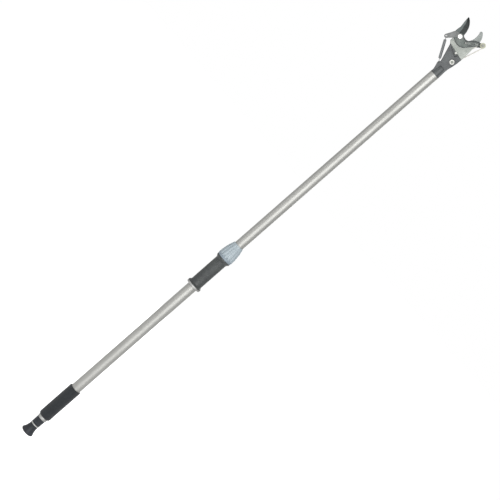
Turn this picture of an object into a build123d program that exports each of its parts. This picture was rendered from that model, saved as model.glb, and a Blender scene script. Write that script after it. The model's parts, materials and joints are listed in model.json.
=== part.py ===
"""Telescopic cord pruner.

A two-tube pole with a foam grip, a twist lock and a pull knob at its foot carries a bypass cutting head.
Pulling the knob draws a cord through both tubes, round a guide pulley and a pulley on the blade's lever,
and swings the blade down onto a fixed hook. A tension spring opens it again.

Frame: +Z runs along the pole from the knob's end face (z = 0) to the head, the head lies in the XZ plane,
the hook and the pulleys are on the +X side, the spring is on the -X side and the head's front faces -Y.
Head points are written as (x, h), with h measured along the pole from the head socket's shoulder.
"""
import os
from math import asin, atan2, cos, degrees, hypot, radians, sin

from build123d import *

os.makedirs("parts", exist_ok=True)

# ---------------------------------------------------------------- clearances
seat_gap = 0.05          # between two pieces of one body that sit in each other
shaft_gap = 0.06         # radial running clearance of a shaft, a pin or a pulley
slide_gap = 0.08         # radial running clearance of the tubes' guides
free_gap = 0.3           # between pieces that move past each other
blade_gap = 0.1          # between the blade and the hook plate
cut_over = 1.0           # how far a cut starts or ends outside what it cuts

# ---------------------------------------------------------------- pole
upper_tube_d = 26.2
upper_tube_length = 800.0
tube_wall = 0.7
tube_gap = 0.25          # radial gap between the upper tube and the lower tube's bore
lower_tube_length = 629.0
tube_overlap = 119.0     # upper tube inside the lower tube at full reach

# ---------------------------------------------------------------- knob, plug and grip
knob_length = 30.5
knob_flare_r = 17.5
knob_end_r = 10.0        # the flat in the middle of the knob's domed end
knob_rim_z = 5.0         # height of the flare's widest ring
knob_neck_r = 11.9
knob_dome_z = 1.2        # a point of the domed end, in from the flare's widest ring
knob_dome_drop = 2.0
knob_swell_low = 2.7     # how far the knob's waist stands out from its neck, low and high
knob_swell_high = 0.8
knob_neck_length = 2.0   # straight part of the neck
knot_r = 3.6
knot_room_r = 5.0
knot_room_depth = 16.0
knob_ring_length = 2.9
knob_ring_r = 12.7
plug_neck_length = 21.0
plug_neck_r = 12.3
plug_neck_draft = 0.3    # the neck widens by this towards the end ring
plug_core_r = 9.5
plug_spigot_length = 30.0
plug_bore_r = 8.5
plug_floor = 8.0
end_ring_length = 7.7
end_ring_r = 13.5
foam_r = 17.4
foam_length = 110.2
foam_foot_round = 3.0
foam_top_round = 0.8
edge_break = 0.6         # small rounds and chamfers on turned pieces
ring_round = 0.8

# ---------------------------------------------------------------- twist lock
sleeve_length = 105.6
tube_above_sleeve = 12.0
sleeve_r = 17.1
sleeve_ring_r = 21.2     # the plated ring is the sleeve's foot
sleeve_ring_length = 5.4
sleeve_foot_r = 21.3
sleeve_foot_length = 1.6
sleeve_foot_taper = 5.6
sleeve_rise_r = 17.8     # half way up the foot's taper
sleeve_top_r = 21.2
sleeve_top_length = 3.4
sleeve_top_taper = 6.5
lock_wall = 1.2
lock_neck_r = 16.4
lock_neck_length = 22.0
lock_lip = 1.0
thread_start = 0.6       # turns up from the neck's foot
thread_depth = 0.9
thread_root = 0.5        # how far each ridge reaches into the neck
thread_pitch = 4.5
thread_count = 4
collar_length = 50.0
collar_band_length = 6.6
collar_band_r = 22.0
collar_r = 22.5
collar_waist_drop = 1.2  # the outline half way up the flutes, in from the widest ring
collar_waist_length = 15.5
collar_shoulder_r = 17.0
collar_top_length = 7.5
collar_mouth_r = 14.3
flute_count = 14
flute_width = 4.2
flute_depth = 1.1
flute_runout = 3.0       # how far the flutes run past the shoulder
flute_pocket_length = 3.8
flute_pocket_depth = 2.2
collet_length = 19.0
collet_foot_r = 15.3
collet_tip_r = 14.0
collet_foot_length = 2.5
collet_slit = 1.6

# ---------------------------------------------------------------- guide bush
bush_flange_length = 12.0
bush_lead_in = 1.0
bush_spigot_length = 15.0
bush_bore_r = 3.0

# ---------------------------------------------------------------- cord
cord_d = 2.5
cord_hole_r = 1.7
cord_meets_head_h = 44.0
cord_bore_r = 4.0        # the cord's way through the socket's foot

# ---------------------------------------------------------------- head layers along Y
channel = 7.0            # gap between the two head plates
hook_plate_t = 3.5
rear_plate_t = 3.0
blade_t = 2.9
lever_t = 2.5
spring_arm_t = 2.0
lever_plate_t = 1.5
rear_link_t = 2.4
cheek_depth = 9.7        # the socket's cheeks end at +-cheek_depth

# ---------------------------------------------------------------- head socket
socket_r = 13.1
socket_round_length = 25.0
socket_draft = 2.0       # degrees by which the round foot narrows
socket_body_h = 3.0      # where the flat body starts
socket_body_inset = 1.0
socket_edge_x = 15.9     # its +X edge beside the bolt
socket_edge_h = 54.0
socket_waist = (-17.3, 39.3)
socket_lug = (-18.9, 29.2)       # the spring's lug: its outer corner
socket_lug_foot = (-18.7, 25.6)
socket_lug_top = (-15.3, 32.6)
socket_lug_root = (-13.2, 10.0)  # where the lug's slope leaves the round foot
socket_hip = (12.2, 32.0)        # the +X edge, between the round foot and the bolt
socket_hip_top = (14.7, 44.0)
socket_rim = 0.9         # chamfer round the fan
spigot_length = 32.0
spigot_bore_r = 8.0
spigot_bore_top = 2.0    # above the socket's shoulder
pocket_floor_h = 40.0
pocket_side_open_h = 57.0
pocket_side_x = 13.8
pocket_wall = 3.2
pocket_left_x = -25.9
pocket_left_h = 74.9
pocket_reach = 12.0      # how far the pocket's cut runs out past the fan
pocket_gap = 0.4         # round the plates in the socket's pocket
fan_corner_h = 78.4
fan_corner_x = -31.8
fan_edge_x = 17.1
fan_edge_h = 71.9
key_recess_r = 3.7
wedge_depth = 1.4        # the sunk wedge of the front cheek, beside the key
wedge_toe = (-0.5, 64.0)
wedge_inset = 1.2        # between the wedge and the fan's corner

# ---------------------------------------------------------------- head points (x, h)
pivot = (-28.7, 106.9)
bolt = (5.5, 51.4)
pulley_pin_at = (25.1, 134.0)
anchor = (12.6, 63.5)
corner = (-34.0, 86.2)
key_at = (-4.9, 73.4)
lever_rivet_at = (-7.3, 106.9)
lever_end_rivet_at = (13.6, 124.8)
blade_tip = (-50.3, 154.0)
blade_throat = (-24.5, 114.1)
blade_edge_high = (-39.6, 147.8)
blade_edge_middle = (-32.2, 139.4)
blade_edge_low = (-26.9, 128.0)
blade_spine_low = (-46.6, 108.5)
blade_spine_middle = (-46.2, 121.4)
blade_spine_high = (-48.3, 135.8)
lever_throat = (-8.0, 113.6)
lever_heel = (0.9, 100.0)
lever_belly_front = (-6.4, 91.9)     # round the lever's foot, from its heel to its back
lever_belly_low = (-14.7, 88.9)
lever_belly_back = (-26.9, 89.9)
lever_back = (-37.4, 94.2)
lever_saddle_back = (-19.6, 112.2)   # between the pivot's boss and the throat
lever_saddle_front = (-13.2, 111.4)
arm_hook_side_low = (-2.0, 121.2)    # the arm's side towards the hook
arm_hook_side_high = (5.6, 128.4)
arm_end_hook_side = (13.2, 133.2)
arm_end_heel_side = (21.3, 127.4)
arm_heel_side_high = (17.6, 122.2)   # and its side back down to the heel
arm_heel_side_low = (9.6, 111.7)
spring_eye = (-52.0, 82.8)
spring_foot = (-16.6, 27.3)
throat_x = -13.0
throat_h = 111.0
hook_tip = (0.6, 154.2)
hook_inner_foot = (-7.3, 115.2)
hook_inner_low = (-2.4, 124.3)
hook_inner_middle = (-1.2, 133.4)
hook_inner_high = (-1.9, 142.2)
hook_end_inner = (-4.6, 149.8)   # its blunt end, between the inner and the outer side
hook_end_top = (-3.2, 153.4)
hook_outer_high = (5.2, 150.2)
hook_outer_shoulder = (9.9, 144.0)
hook_outer_middle = (13.6, 135.0)
hook_outer_low = (14.6, 124.0)
hook_root = (14.7, 109.3)
plate_edge_h = 87.6      # where the plates' +X edge turns towards the hook
rear_plate_x = 12.4      # the rear plate's top corner, and the start of its chamfer
rear_plate_top_h = 108.0
plate_edge_x = 16.5
plate_corner_x = -33.4
plate_corner_r = 4.4
closing_angle = 62.0

# ---------------------------------------------------------------- head hardware
pivot_r = 3.0
pivot_head_r = 6.1
pivot_head_t = 3.0
pivot_head_round = 1.2
pivot_nut_r = 5.4
pivot_boss_r = 10.0
bolt_r = 2.5
bolt_head_r = 6.7
bolt_head_t = 3.2
bolt_head_chamfer = 0.9
bolt_socket_r = 3.7      # across the hexagon's corners, halved
bolt_socket_depth = 2.5
bolt_nut_r = 4.6
nut_t = 3.8
anchor_r = 1.6
corner_rivet_r = 1.5
corner_rivet_head_r = 2.9
rivet_head_t = 1.2
spacer_wall = 2.4
key_r = 2.6
key_shank_r = 1.5
key_head_t = 2.4
small_chamfer = 0.5
lever_rivet_r = 1.6
lever_rivet_head_r = 2.4
rivet_round = 0.8
end_rivet_r = 1.0
end_rivet_head_r = 1.7
lever_plate_width = 6.4
lever_slot_length = 9.0
lever_slot_width = 2.4
blade_tail_r = 6.0
blade_tail_h = 101.6
blade_heel_r = 12.5
blade_back_r = 15.0
rear_link_end_r = 5.0
link_spacer_wall = 3.4
pulley_pin_r = 2.0
pulley_pin_head_r = 2.9
guide_pulley_r = 8.0
arm_pulley_r = 7.1
arm_groove_r = 5.2       # the cord's centre line on the lever's pulley
pulley_t = 6.0
groove_gap = 0.15

# ---------------------------------------------------------------- spring
spring_wire_r = 0.8
spring_coil_r = 3.8
spring_pitch = 1.9
spring_coil_start = 6.4
spring_coil_end = 58.0
spring_coil_wall = 1.0   # closes the coil's hollow at each end
spring_stem_lap = 2.0    # how far the wire's straight foot runs into the coil
spring_bend_r = 1.2      # the end hook's bend, along the wire's middle
spring_hole_r = 2.0
spring_seat_depth = 6.0  # the foot's hole in the socket
spring_off_lever = 0.2   # between the spring's wire and the lever's front
spring_arm_end_r = 5.2
spring_arm_boss_r = 7.6
spring_arm_heel_r = 9.0
spring_arm_shoulder_r = 17.6
spring_arm_back = (-50.2, 99.5)   # the arm's two sides, between its shoulder and its eye
spring_arm_front_side = (-38.0, 92.2)

# ---------------------------------------------------------------- places along the pole
cord_r = cord_d / 2
upper_tube_r = upper_tube_d / 2
upper_bore_r = upper_tube_r - tube_wall
lower_bore_r = upper_tube_r + tube_gap
lower_tube_r = lower_bore_r + tube_wall
knob_neck_foot_z = knob_length - knob_neck_length
knob_curve_length = knob_neck_foot_z - knob_rim_z
knob_top_z = knob_length + knob_ring_length
plug_foot_z = knob_top_z + free_gap
plug_neck_top_z = plug_foot_z + plug_neck_length
lower_tube_z = plug_neck_top_z + end_ring_length
lower_tube_top_z = lower_tube_z + lower_tube_length
sleeve_top_z = lower_tube_top_z - tube_above_sleeve
sleeve_foot_z = sleeve_top_z - sleeve_length
collar_foot_z = sleeve_top_z + free_gap
collar_top_z = collar_foot_z + collar_length
lock_top_z = sleeve_top_z + lock_neck_length
collet_top_z = lock_top_z + collet_length
upper_tube_z = lower_tube_top_z - tube_overlap
head_z = upper_tube_z + upper_tube_length
bush_foot_z = upper_tube_z - bush_flange_length

# ---------------------------------------------------------------- layers along Y, front face and back face
pocket_top_h = fan_corner_h + pocket_reach
hook_back = -channel / 2
hook_front = hook_back - hook_plate_t
blade_back = hook_front - blade_gap
blade_front = blade_back - blade_t
lever_front = blade_front - lever_t
spring_arm_front = lever_front - spring_arm_t
lever_plate_front = lever_front - lever_plate_t
rear_front = channel / 2
rear_back = rear_front + rear_plate_t
link_front = cheek_depth + free_gap
link_back = link_front + rear_link_t
spring_y = lever_front + spring_off_lever + spring_wire_r


def axis_profile():
    """The plane in which a turned piece is drawn: local x is the radius, local y is z."""
    return Plane.XZ


def head_face(y):
    """A plane of the head at y, drawn in (x, h); a positive extrusion runs towards the front."""
    return Plane(origin=(0, y, head_z), x_dir=(1, 0, 0), z_dir=(0, -1, 0))


def layer(back, front):
    """Extrude the pending sketch, drawn on head_face(back), to the front face."""
    extrude(amount=back - front)


def holes(back, front, spots):
    """Drill (place, radius) spots right through the layer."""
    for place, radius in spots:
        with BuildSketch(head_face(back + cut_over)) as hole:
            with Locations(place):
                Circle(radius)
        extrude(hole.sketch, amount=back - front + 2 * cut_over, mode=Mode.SUBTRACT)


def head_rod(y_back, y_front, place, radius):
    """A round rod of the head along Y, added to the open part."""
    with BuildSketch(head_face(y_back)) as section:
        with Locations(place):
            Circle(radius)
    extrude(section.sketch, amount=y_back - y_front)


def turned(points):
    """Revolve a closed outline of (radius, z) points about the pole's axis."""
    with BuildSketch(axis_profile()) as profile:
        with BuildLine():
            Polyline(*points, close=True)
        make_face()
    revolve(profile.sketch, axis=Axis.Z)


def bored(radius, z_from, z_to):
    """Cut a round hole along the pole's axis."""
    with BuildSketch(Plane.XY.offset(z_from)) as hole:
        Circle(radius)
    extrude(hole.sketch, amount=z_to - z_from, mode=Mode.SUBTRACT)


def polar(centre, radius, angle):
    """The point at an angle in degrees on a circle of the head."""
    return (centre[0] + radius * cos(radians(angle)), centre[1] + radius * sin(radians(angle)))


def turned_about_pivot(place, angle):
    """Where a point of the blade's body lies once the blade has closed by an angle."""
    dx, dh = place[0] - pivot[0], place[1] - pivot[1]
    c, s = cos(radians(angle)), sin(radians(angle))
    return (pivot[0] + dx * c + dh * s, pivot[1] - dx * s + dh * c)


def save(piece, label):
    piece.part.label = label
    export_step(piece.part, f"parts/{label}.step")


# ================================================================ pull knob
with BuildPart() as pull_knob:
    with BuildSketch(axis_profile()):
        with BuildLine():
            Line((0, 0), (knob_end_r, 0))
            Spline(
                (knob_end_r, 0),
                (knob_flare_r - knob_dome_drop, knob_dome_z),
                (knob_flare_r, knob_rim_z),
                tangents=((1, 0), (0, 1)),
            )
            Spline(
                (knob_flare_r, knob_rim_z),
                (knob_neck_r + knob_swell_low, knob_rim_z + knob_curve_length / 3),
                (knob_neck_r + knob_swell_high, knob_rim_z + knob_curve_length * 2 / 3),
                (knob_neck_r, knob_neck_foot_z),
                tangents=((0, 1), (0, 1)),
                tangent_scalars=(0.5, 1.0),
            )
            Line((knob_neck_r, knob_neck_foot_z), (knob_neck_r, knob_length))
            Line((knob_neck_r, knob_length), (0, knob_length))
            Line((0, knob_length), (0, 0))
        make_face()
    revolve(axis=Axis.Z)
    bored(knot_room_r, knob_length - knot_room_depth, knob_length)
save(pull_knob, "pull_knob")

with BuildPart() as knob_ring:
    with BuildSketch(Plane.XY.offset(knob_length)):
        Circle(knob_ring_r)
        Circle(cord_r + seat_gap, mode=Mode.SUBTRACT)
    extrude(amount=knob_ring_length)
    fillet(knob_ring.edges().filter_by(GeomType.CIRCLE).group_by(SortBy.RADIUS)[-1], radius=ring_round)
save(knob_ring, "knob_ring")

with BuildPart() as cord_knot:
    with Locations((0, 0, knob_length - knot_r)):
        Sphere(knot_r)
    bored(cord_r + seat_gap, knob_length - 2 * knot_r, knob_length)
save(cord_knot, "cord_knot")

with BuildPart() as cord_lower:
    with BuildSketch(Plane.XY.offset(knob_length - 2 * knot_r)):
        Circle(cord_r)
    extrude(amount=bush_foot_z - (knob_length - 2 * knot_r))
save(cord_lower, "cord_lower")

# ================================================================ foot of the pole
with BuildPart() as end_plug:
    turned([
        (0, plug_foot_z),
        (plug_neck_r - edge_break, plug_foot_z),
        (plug_neck_r, plug_foot_z + edge_break),
        (plug_neck_r + plug_neck_draft, plug_neck_top_z),
        (plug_core_r, plug_neck_top_z),
        (plug_core_r, lower_tube_z),
        (lower_bore_r - seat_gap, lower_tube_z),
        (lower_bore_r - seat_gap, lower_tube_z + plug_spigot_length),
        (0, lower_tube_z + plug_spigot_length),
    ])
    bored(cord_hole_r, plug_foot_z, lower_tube_z + plug_spigot_length)
    bored(plug_bore_r, lower_tube_z + plug_floor, lower_tube_z + plug_spigot_length)
save(end_plug, "end_plug")

with BuildPart() as end_ring:
    with BuildSketch(Plane.XY.offset(plug_neck_top_z)):
        Circle(end_ring_r)
        Circle(plug_core_r + seat_gap, mode=Mode.SUBTRACT)
    extrude(amount=end_ring_length)
    fillet(end_ring.edges().group_by(Axis.Z)[0].group_by(SortBy.RADIUS)[-1], radius=ring_round)
save(end_ring, "end_ring")

with BuildPart() as lower_tube:
    with BuildSketch(Plane.XY.offset(lower_tube_z)):
        Circle(lower_tube_r)
        Circle(lower_bore_r, mode=Mode.SUBTRACT)
    extrude(amount=lower_tube_length)
save(lower_tube, "lower_tube")

with BuildPart() as foam_grip:
    with BuildSketch(Plane.XY.offset(lower_tube_z)):
        Circle(foam_r)
        Circle(lower_tube_r + seat_gap, mode=Mode.SUBTRACT)
    extrude(amount=foam_length)
    fillet(foam_grip.edges().group_by(Axis.Z)[0].group_by(SortBy.RADIUS)[-1], radius=foam_foot_round)
    fillet(foam_grip.edges().group_by(Axis.Z)[-1].group_by(SortBy.RADIUS)[-1], radius=foam_top_round)
save(foam_grip, "foam_grip")

# ================================================================ twist lock
lock_r = lower_tube_r + seat_gap + lock_wall
sleeve_ring_top_z = sleeve_foot_z + sleeve_ring_length

with BuildPart() as lock_body:
    turned([
        (lower_tube_r + seat_gap, sleeve_foot_z),
        (lock_r, sleeve_foot_z),
        (lock_r, sleeve_top_z),
        (lock_neck_r, sleeve_top_z),
        (lock_neck_r, lock_top_z),
        (upper_tube_r + free_gap, lock_top_z),
        (upper_tube_r + free_gap, lower_tube_top_z + lock_lip),
        (lower_tube_r + seat_gap, lower_tube_top_z + lock_lip),
    ])
    for turn in range(thread_count):
        rib_z = sleeve_top_z + thread_pitch * (turn + thread_start)
        turned([
            (lock_neck_r - thread_root, rib_z),
            (lock_neck_r, rib_z),
            (lock_neck_r + thread_depth, rib_z + thread_depth),
            (lock_neck_r, rib_z + 2 * thread_depth),
            (lock_neck_r - thread_root, rib_z + 2 * thread_depth),
        ])
save(lock_body, "lock_body")

with BuildPart() as sleeve_grip:
    turned([
        (lock_r + seat_gap, sleeve_ring_top_z),
        (sleeve_foot_r - edge_break, sleeve_ring_top_z),
        (sleeve_foot_r, sleeve_ring_top_z + edge_break),
        (sleeve_foot_r, sleeve_ring_top_z + sleeve_foot_length),
        (sleeve_rise_r, sleeve_ring_top_z + sleeve_foot_length + sleeve_foot_taper / 2),
        (sleeve_r, sleeve_ring_top_z + sleeve_foot_length + sleeve_foot_taper),
        (sleeve_r, sleeve_top_z - sleeve_top_length - sleeve_top_taper),
        (sleeve_top_r, sleeve_top_z - sleeve_top_length),
        (sleeve_top_r, sleeve_top_z),
        (lock_r + seat_gap, sleeve_top_z),
    ])
save(sleeve_grip, "sleeve_grip")

with BuildPart() as sleeve_ring:
    with BuildSketch(Plane.XY.offset(sleeve_foot_z)):
        Circle(sleeve_ring_r)
        Circle(lock_r + seat_gap, mode=Mode.SUBTRACT)
    extrude(amount=sleeve_ring_length)
    fillet(sleeve_ring.edges().group_by(Axis.Z)[0].group_by(SortBy.RADIUS)[-1], radius=2 * ring_round)
save(sleeve_ring, "sleeve_ring")

with BuildPart() as collet:
    turned([
        (upper_tube_r + slide_gap, lock_top_z),
        (collet_foot_r, lock_top_z),
        (collet_foot_r, lock_top_z + collet_foot_length),
        (collet_tip_r, collet_top_z),
        (upper_tube_r + slide_gap, collet_top_z),
    ])
    with BuildSketch(Plane.XY.offset(lock_top_z + collet_foot_length)):
        with PolarLocations(upper_tube_r, 3):
            Rectangle(2 * collet_foot_r - upper_tube_r, collet_slit)
    extrude(amount=collet_length, mode=Mode.SUBTRACT)
save(collet, "collet")

flute_foot_z = collar_foot_z + collar_band_length
collar_shoulder_z = collar_top_z - collar_top_length


def collar_outline(inset):
    """The collar's turned outside, from its foot to its domed top, set in by an amount."""
    Line((0, collar_foot_z), (collar_band_r - inset, collar_foot_z))
    Line((collar_band_r - inset, collar_foot_z), (collar_r - inset, flute_foot_z))
    Spline(
        (collar_r - inset, flute_foot_z),
        (collar_r - collar_waist_drop - inset, flute_foot_z + collar_waist_length),
        (collar_shoulder_r - inset, collar_shoulder_z),
        tangents=((0, 1), (-0.55, 1)),
    )
    Line((collar_shoulder_r - inset, collar_shoulder_z), (collar_mouth_r, collar_top_z))
    Line((collar_mouth_r, collar_top_z), (0, collar_top_z))
    Line((0, collar_top_z), (0, collar_foot_z))


with BuildPart() as lock_collar:
    with BuildSketch(axis_profile()):
        with BuildLine():
            collar_outline(0)
        make_face()
    revolve(axis=Axis.Z)
    with BuildSketch(Plane.XY.offset(flute_foot_z)):
        with PolarLocations(collar_r, flute_count):
            SlotOverall(collar_r, flute_width, rotation=0)
    extrude(amount=collar_shoulder_z - flute_foot_z + flute_runout, mode=Mode.SUBTRACT)
    with BuildSketch(axis_profile()):
        with BuildLine():
            collar_outline(flute_depth)
        make_face()
    revolve(axis=Axis.Z)
    with BuildSketch(Plane.XY.offset(flute_foot_z)):
        with PolarLocations(collar_r, flute_count):
            Rectangle(2 * flute_pocket_depth, flute_width)
    extrude(amount=flute_pocket_length, mode=Mode.SUBTRACT)
    with BuildSketch(axis_profile()):
        with BuildLine():
            Polyline(
                (0, collar_foot_z),
                (lock_neck_r + thread_depth + free_gap, collar_foot_z),
                (lock_neck_r + thread_depth + free_gap, lock_top_z + free_gap),
                (collet_foot_r + free_gap, lock_top_z + free_gap + edge_break),
                (collet_foot_r + free_gap, lock_top_z + collet_foot_length),
                (collet_tip_r + free_gap, collet_top_z + free_gap),
                (upper_tube_r + free_gap, collet_top_z + free_gap),
                (upper_tube_r + free_gap, collar_top_z),
                (0, collar_top_z),
                close=True,
            )
        make_face()
    revolve(axis=Axis.Z, mode=Mode.SUBTRACT)
save(lock_collar, "lock_collar")

# ================================================================ upper tube
with BuildPart() as upper_tube:
    with BuildSketch(Plane.XY.offset(upper_tube_z)):
        Circle(upper_tube_r)
        Circle(upper_bore_r, mode=Mode.SUBTRACT)
    extrude(amount=upper_tube_length)
save(upper_tube, "upper_tube")

with BuildPart() as guide_bush:
    turned([
        (bush_bore_r, bush_foot_z),
        (lower_bore_r - slide_gap - bush_lead_in, bush_foot_z),
        (lower_bore_r - slide_gap, bush_foot_z + bush_lead_in),
        (lower_bore_r - slide_gap, upper_tube_z),
        (upper_bore_r - seat_gap, upper_tube_z),
        (upper_bore_r - seat_gap, upper_tube_z + bush_spigot_length),
        (bush_bore_r, upper_tube_z + bush_spigot_length),
    ])
save(guide_bush, "guide_bush")

# ================================================================ head socket
with BuildPart() as head_socket:
    with BuildSketch(Plane.XY.offset(head_z - spigot_length)):
        Circle(upper_bore_r - seat_gap)
    extrude(amount=spigot_length)
    with BuildSketch(Plane.XY.offset(head_z)):
        Circle(socket_r)
    extrude(amount=socket_round_length, taper=socket_draft)
    with BuildSketch(head_face(cheek_depth)):
        with BuildLine():
            Polyline(
                (socket_r - socket_body_inset, socket_body_h),
                socket_hip,
                socket_hip_top,
                (socket_edge_x, socket_edge_h),
                (fan_edge_x, fan_edge_h),
                (fan_corner_x, fan_corner_h),
                socket_waist,
                socket_lug_top,
                socket_lug,
                socket_lug_foot,
                socket_lug_root,
                (socket_body_inset - socket_r, socket_body_h),
                close=True,
            )
        make_face()
    extrude(amount=2 * cheek_depth)
    fan_edges = head_socket.faces().filter_by(Axis.Y).edges()
    chamfer(
        fan_edges.filter_by_position(Axis.Z, head_z + socket_waist[1] - cut_over, head_z + pocket_top_h),
        length=socket_rim,
    )
    with BuildSketch(head_face(rear_back + seat_gap)):
        with BuildLine():
            Polyline(
                (socket_edge_x + pocket_reach, pocket_side_open_h),
                (socket_edge_x + pocket_reach, pocket_top_h),
                (pocket_left_x, pocket_top_h),
                (pocket_left_x, pocket_left_h),
                (socket_waist[0] + pocket_wall, pocket_floor_h),
                (pocket_side_x, pocket_floor_h),
                (pocket_side_x, pocket_side_open_h),
                close=True,
            )
        make_face()
    extrude(amount=rear_back - hook_front + 2 * seat_gap, mode=Mode.SUBTRACT)
    bored(spigot_bore_r, head_z - spigot_length, head_z + spigot_bore_top)
    bored(cord_bore_r, head_z, head_z + pocket_floor_h + cut_over)
    holes(cheek_depth, -cheek_depth, [(bolt, bolt_r + seat_gap), (anchor, anchor_r + seat_gap)])
    with BuildSketch(head_face(hook_front)):
        with Locations(key_at):
            Circle(key_recess_r)
    extrude(amount=cheek_depth, mode=Mode.SUBTRACT)
    with BuildSketch(head_face(wedge_depth - cheek_depth)):
        with BuildLine():
            Polyline(
                (fan_corner_x + 2 * wedge_inset, fan_corner_h - wedge_inset),
                wedge_toe,
                (wedge_toe[0] + key_recess_r, fan_edge_h),
                (wedge_toe[0] + key_recess_r, pocket_top_h),
                (fan_corner_x + 2 * wedge_inset, pocket_top_h),
                close=True,
            )
        make_face()
    extrude(amount=2 * wedge_depth, mode=Mode.SUBTRACT)
    with BuildSketch(head_face(-cheek_depth + spring_seat_depth)):
        with Locations(spring_foot):
            Circle(spring_wire_r + shaft_gap)
    extrude(amount=spring_seat_depth + cut_over, mode=Mode.SUBTRACT)
save(head_socket, "head_socket")

# ================================================================ head plates
plate_shoulder_h = fan_corner_h + pocket_gap
plate_left_x = pocket_left_x + pocket_gap
plate_step_h = pocket_side_open_h + pocket_gap
plate_foot = [
    (pocket_side_x - pocket_gap, plate_step_h),
    (pocket_side_x - pocket_gap, pocket_floor_h + pocket_gap),
]


def plate_left_side():
    """The plate's -X side, from its foot in the socket up to the boss round the pivot."""
    Polyline(
        (pocket_side_x - pocket_gap, pocket_floor_h + pocket_gap),
        (socket_waist[0] + pocket_wall + pocket_gap, pocket_floor_h + pocket_gap),
        (plate_left_x, pocket_left_h),
        (plate_left_x, plate_shoulder_h),
        (plate_corner_x, plate_shoulder_h),
        polar(corner, plate_corner_r, 200),
        polar(corner, plate_corner_r, 160),
        polar(pivot, pivot_boss_r, 180),
    )
    ThreePointArc(
        polar(pivot, pivot_boss_r, 180),
        polar(pivot, pivot_boss_r, 110),
        polar(pivot, pivot_boss_r, 40),
    )
    Line(polar(pivot, pivot_boss_r, 40), (throat_x, throat_h))


plate_holes = [
    (bolt, bolt_r + seat_gap),
    (anchor, anchor_r + seat_gap),
    (corner, corner_rivet_r + seat_gap),
]

with BuildPart() as head_plate:
    with BuildSketch(head_face(hook_back)):
        with BuildLine():
            plate_left_side()
            Spline(
                (throat_x, throat_h),
                hook_inner_foot,
                hook_inner_low,
                hook_inner_middle,
                hook_inner_high,
                hook_end_inner,
            )
            ThreePointArc(hook_end_inner, hook_end_top, hook_tip)
            Spline(
                hook_tip,
                hook_outer_high,
                hook_outer_shoulder,
                hook_outer_middle,
                hook_outer_low,
                hook_root,
            )
            Polyline(hook_root, (plate_edge_x, plate_edge_h), (plate_edge_x, plate_step_h), *plate_foot)
        make_face()
    layer(hook_back, hook_front)
    holes(hook_back, hook_front, plate_holes)
    holes(hook_back, hook_front, [(pivot, pivot_r + seat_gap), (key_at, key_shank_r + seat_gap)])
save(head_plate, "head_plate")

with BuildPart() as rear_plate:
    with BuildSketch(head_face(rear_back)):
        with BuildLine():
            plate_left_side()
            Polyline(
                (throat_x, throat_h),
                (rear_plate_x, throat_h),
                (hook_root[0], rear_plate_top_h),
                (plate_edge_x, plate_edge_h),
                (plate_edge_x, plate_step_h),
                *plate_foot,
            )
        make_face()
    layer(rear_back, rear_front)
    holes(rear_back, rear_front, plate_holes + [(pivot, pivot_r + seat_gap)])
save(rear_plate, "rear_plate")

with BuildPart() as plate_spacers:
    for place, shaft_r in [(pivot, pivot_r), (corner, corner_rivet_r)]:
        with BuildSketch(head_face(rear_front)):
            with Locations(place):
                Circle(shaft_r + spacer_wall)
                Circle(shaft_r + seat_gap, mode=Mode.SUBTRACT)
        extrude(amount=channel)
save(plate_spacers, "plate_spacers")

with BuildPart() as corner_rivet:
    head_rod(rear_back, hook_front, corner, corner_rivet_r)
    head_rod(hook_front, hook_front - rivet_head_t, corner, corner_rivet_head_r)
    head_rod(rear_back + rivet_head_t, rear_back, corner, corner_rivet_head_r)
save(corner_rivet, "corner_rivet")

with BuildPart() as index_key:
    head_rod(hook_back + small_chamfer, hook_front, key_at, key_shank_r)
    head_rod(hook_front, hook_front - key_head_t, key_at, key_r)
    chamfer(index_key.faces().sort_by(Axis.Y)[0].edges(), length=small_chamfer)
save(index_key, "index_key")

# ================================================================ head fasteners
with BuildPart() as head_bolt:
    head_rod(cheek_depth + nut_t - small_chamfer, -cheek_depth, bolt, bolt_r)
    head_rod(-cheek_depth, -cheek_depth - bolt_head_t, bolt, bolt_head_r)
    chamfer(head_bolt.faces().sort_by(Axis.Y)[0].edges(), length=bolt_head_chamfer)
    with BuildSketch(head_face(-cheek_depth - bolt_head_t + bolt_socket_depth)):
        with Locations(bolt):
            RegularPolygon(bolt_socket_r, 6)
    extrude(amount=bolt_socket_depth, mode=Mode.SUBTRACT)
save(head_bolt, "head_bolt")

with BuildPart() as head_nut:
    with BuildSketch(head_face(cheek_depth + nut_t)):
        with Locations(bolt):
            RegularPolygon(bolt_nut_r, 6)
            Circle(bolt_r + seat_gap, mode=Mode.SUBTRACT)
    extrude(amount=nut_t)
save(head_nut, "head_nut")

with BuildPart() as cord_anchor:
    head_rod(cheek_depth, -cheek_depth, anchor, anchor_r)
save(cord_anchor, "cord_anchor")

pivot_head_back = spring_arm_front - blade_gap
pivot_nut_front = link_back + blade_gap
with BuildPart() as pivot_bolt:
    head_rod(pivot_nut_front + nut_t, pivot_head_back, pivot, pivot_r)
    head_rod(pivot_head_back, pivot_head_back - pivot_head_t, pivot, pivot_head_r)
    fillet(pivot_bolt.faces().sort_by(Axis.Y)[0].edges(), radius=pivot_head_round)
save(pivot_bolt, "pivot_bolt")

with BuildPart() as pivot_nut:
    with BuildSketch(head_face(pivot_nut_front + nut_t)):
        with Locations(pivot):
            RegularPolygon(pivot_nut_r, 6)
            Circle(pivot_r + seat_gap, mode=Mode.SUBTRACT)
    extrude(amount=nut_t)
save(pivot_nut, "pivot_nut")

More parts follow.
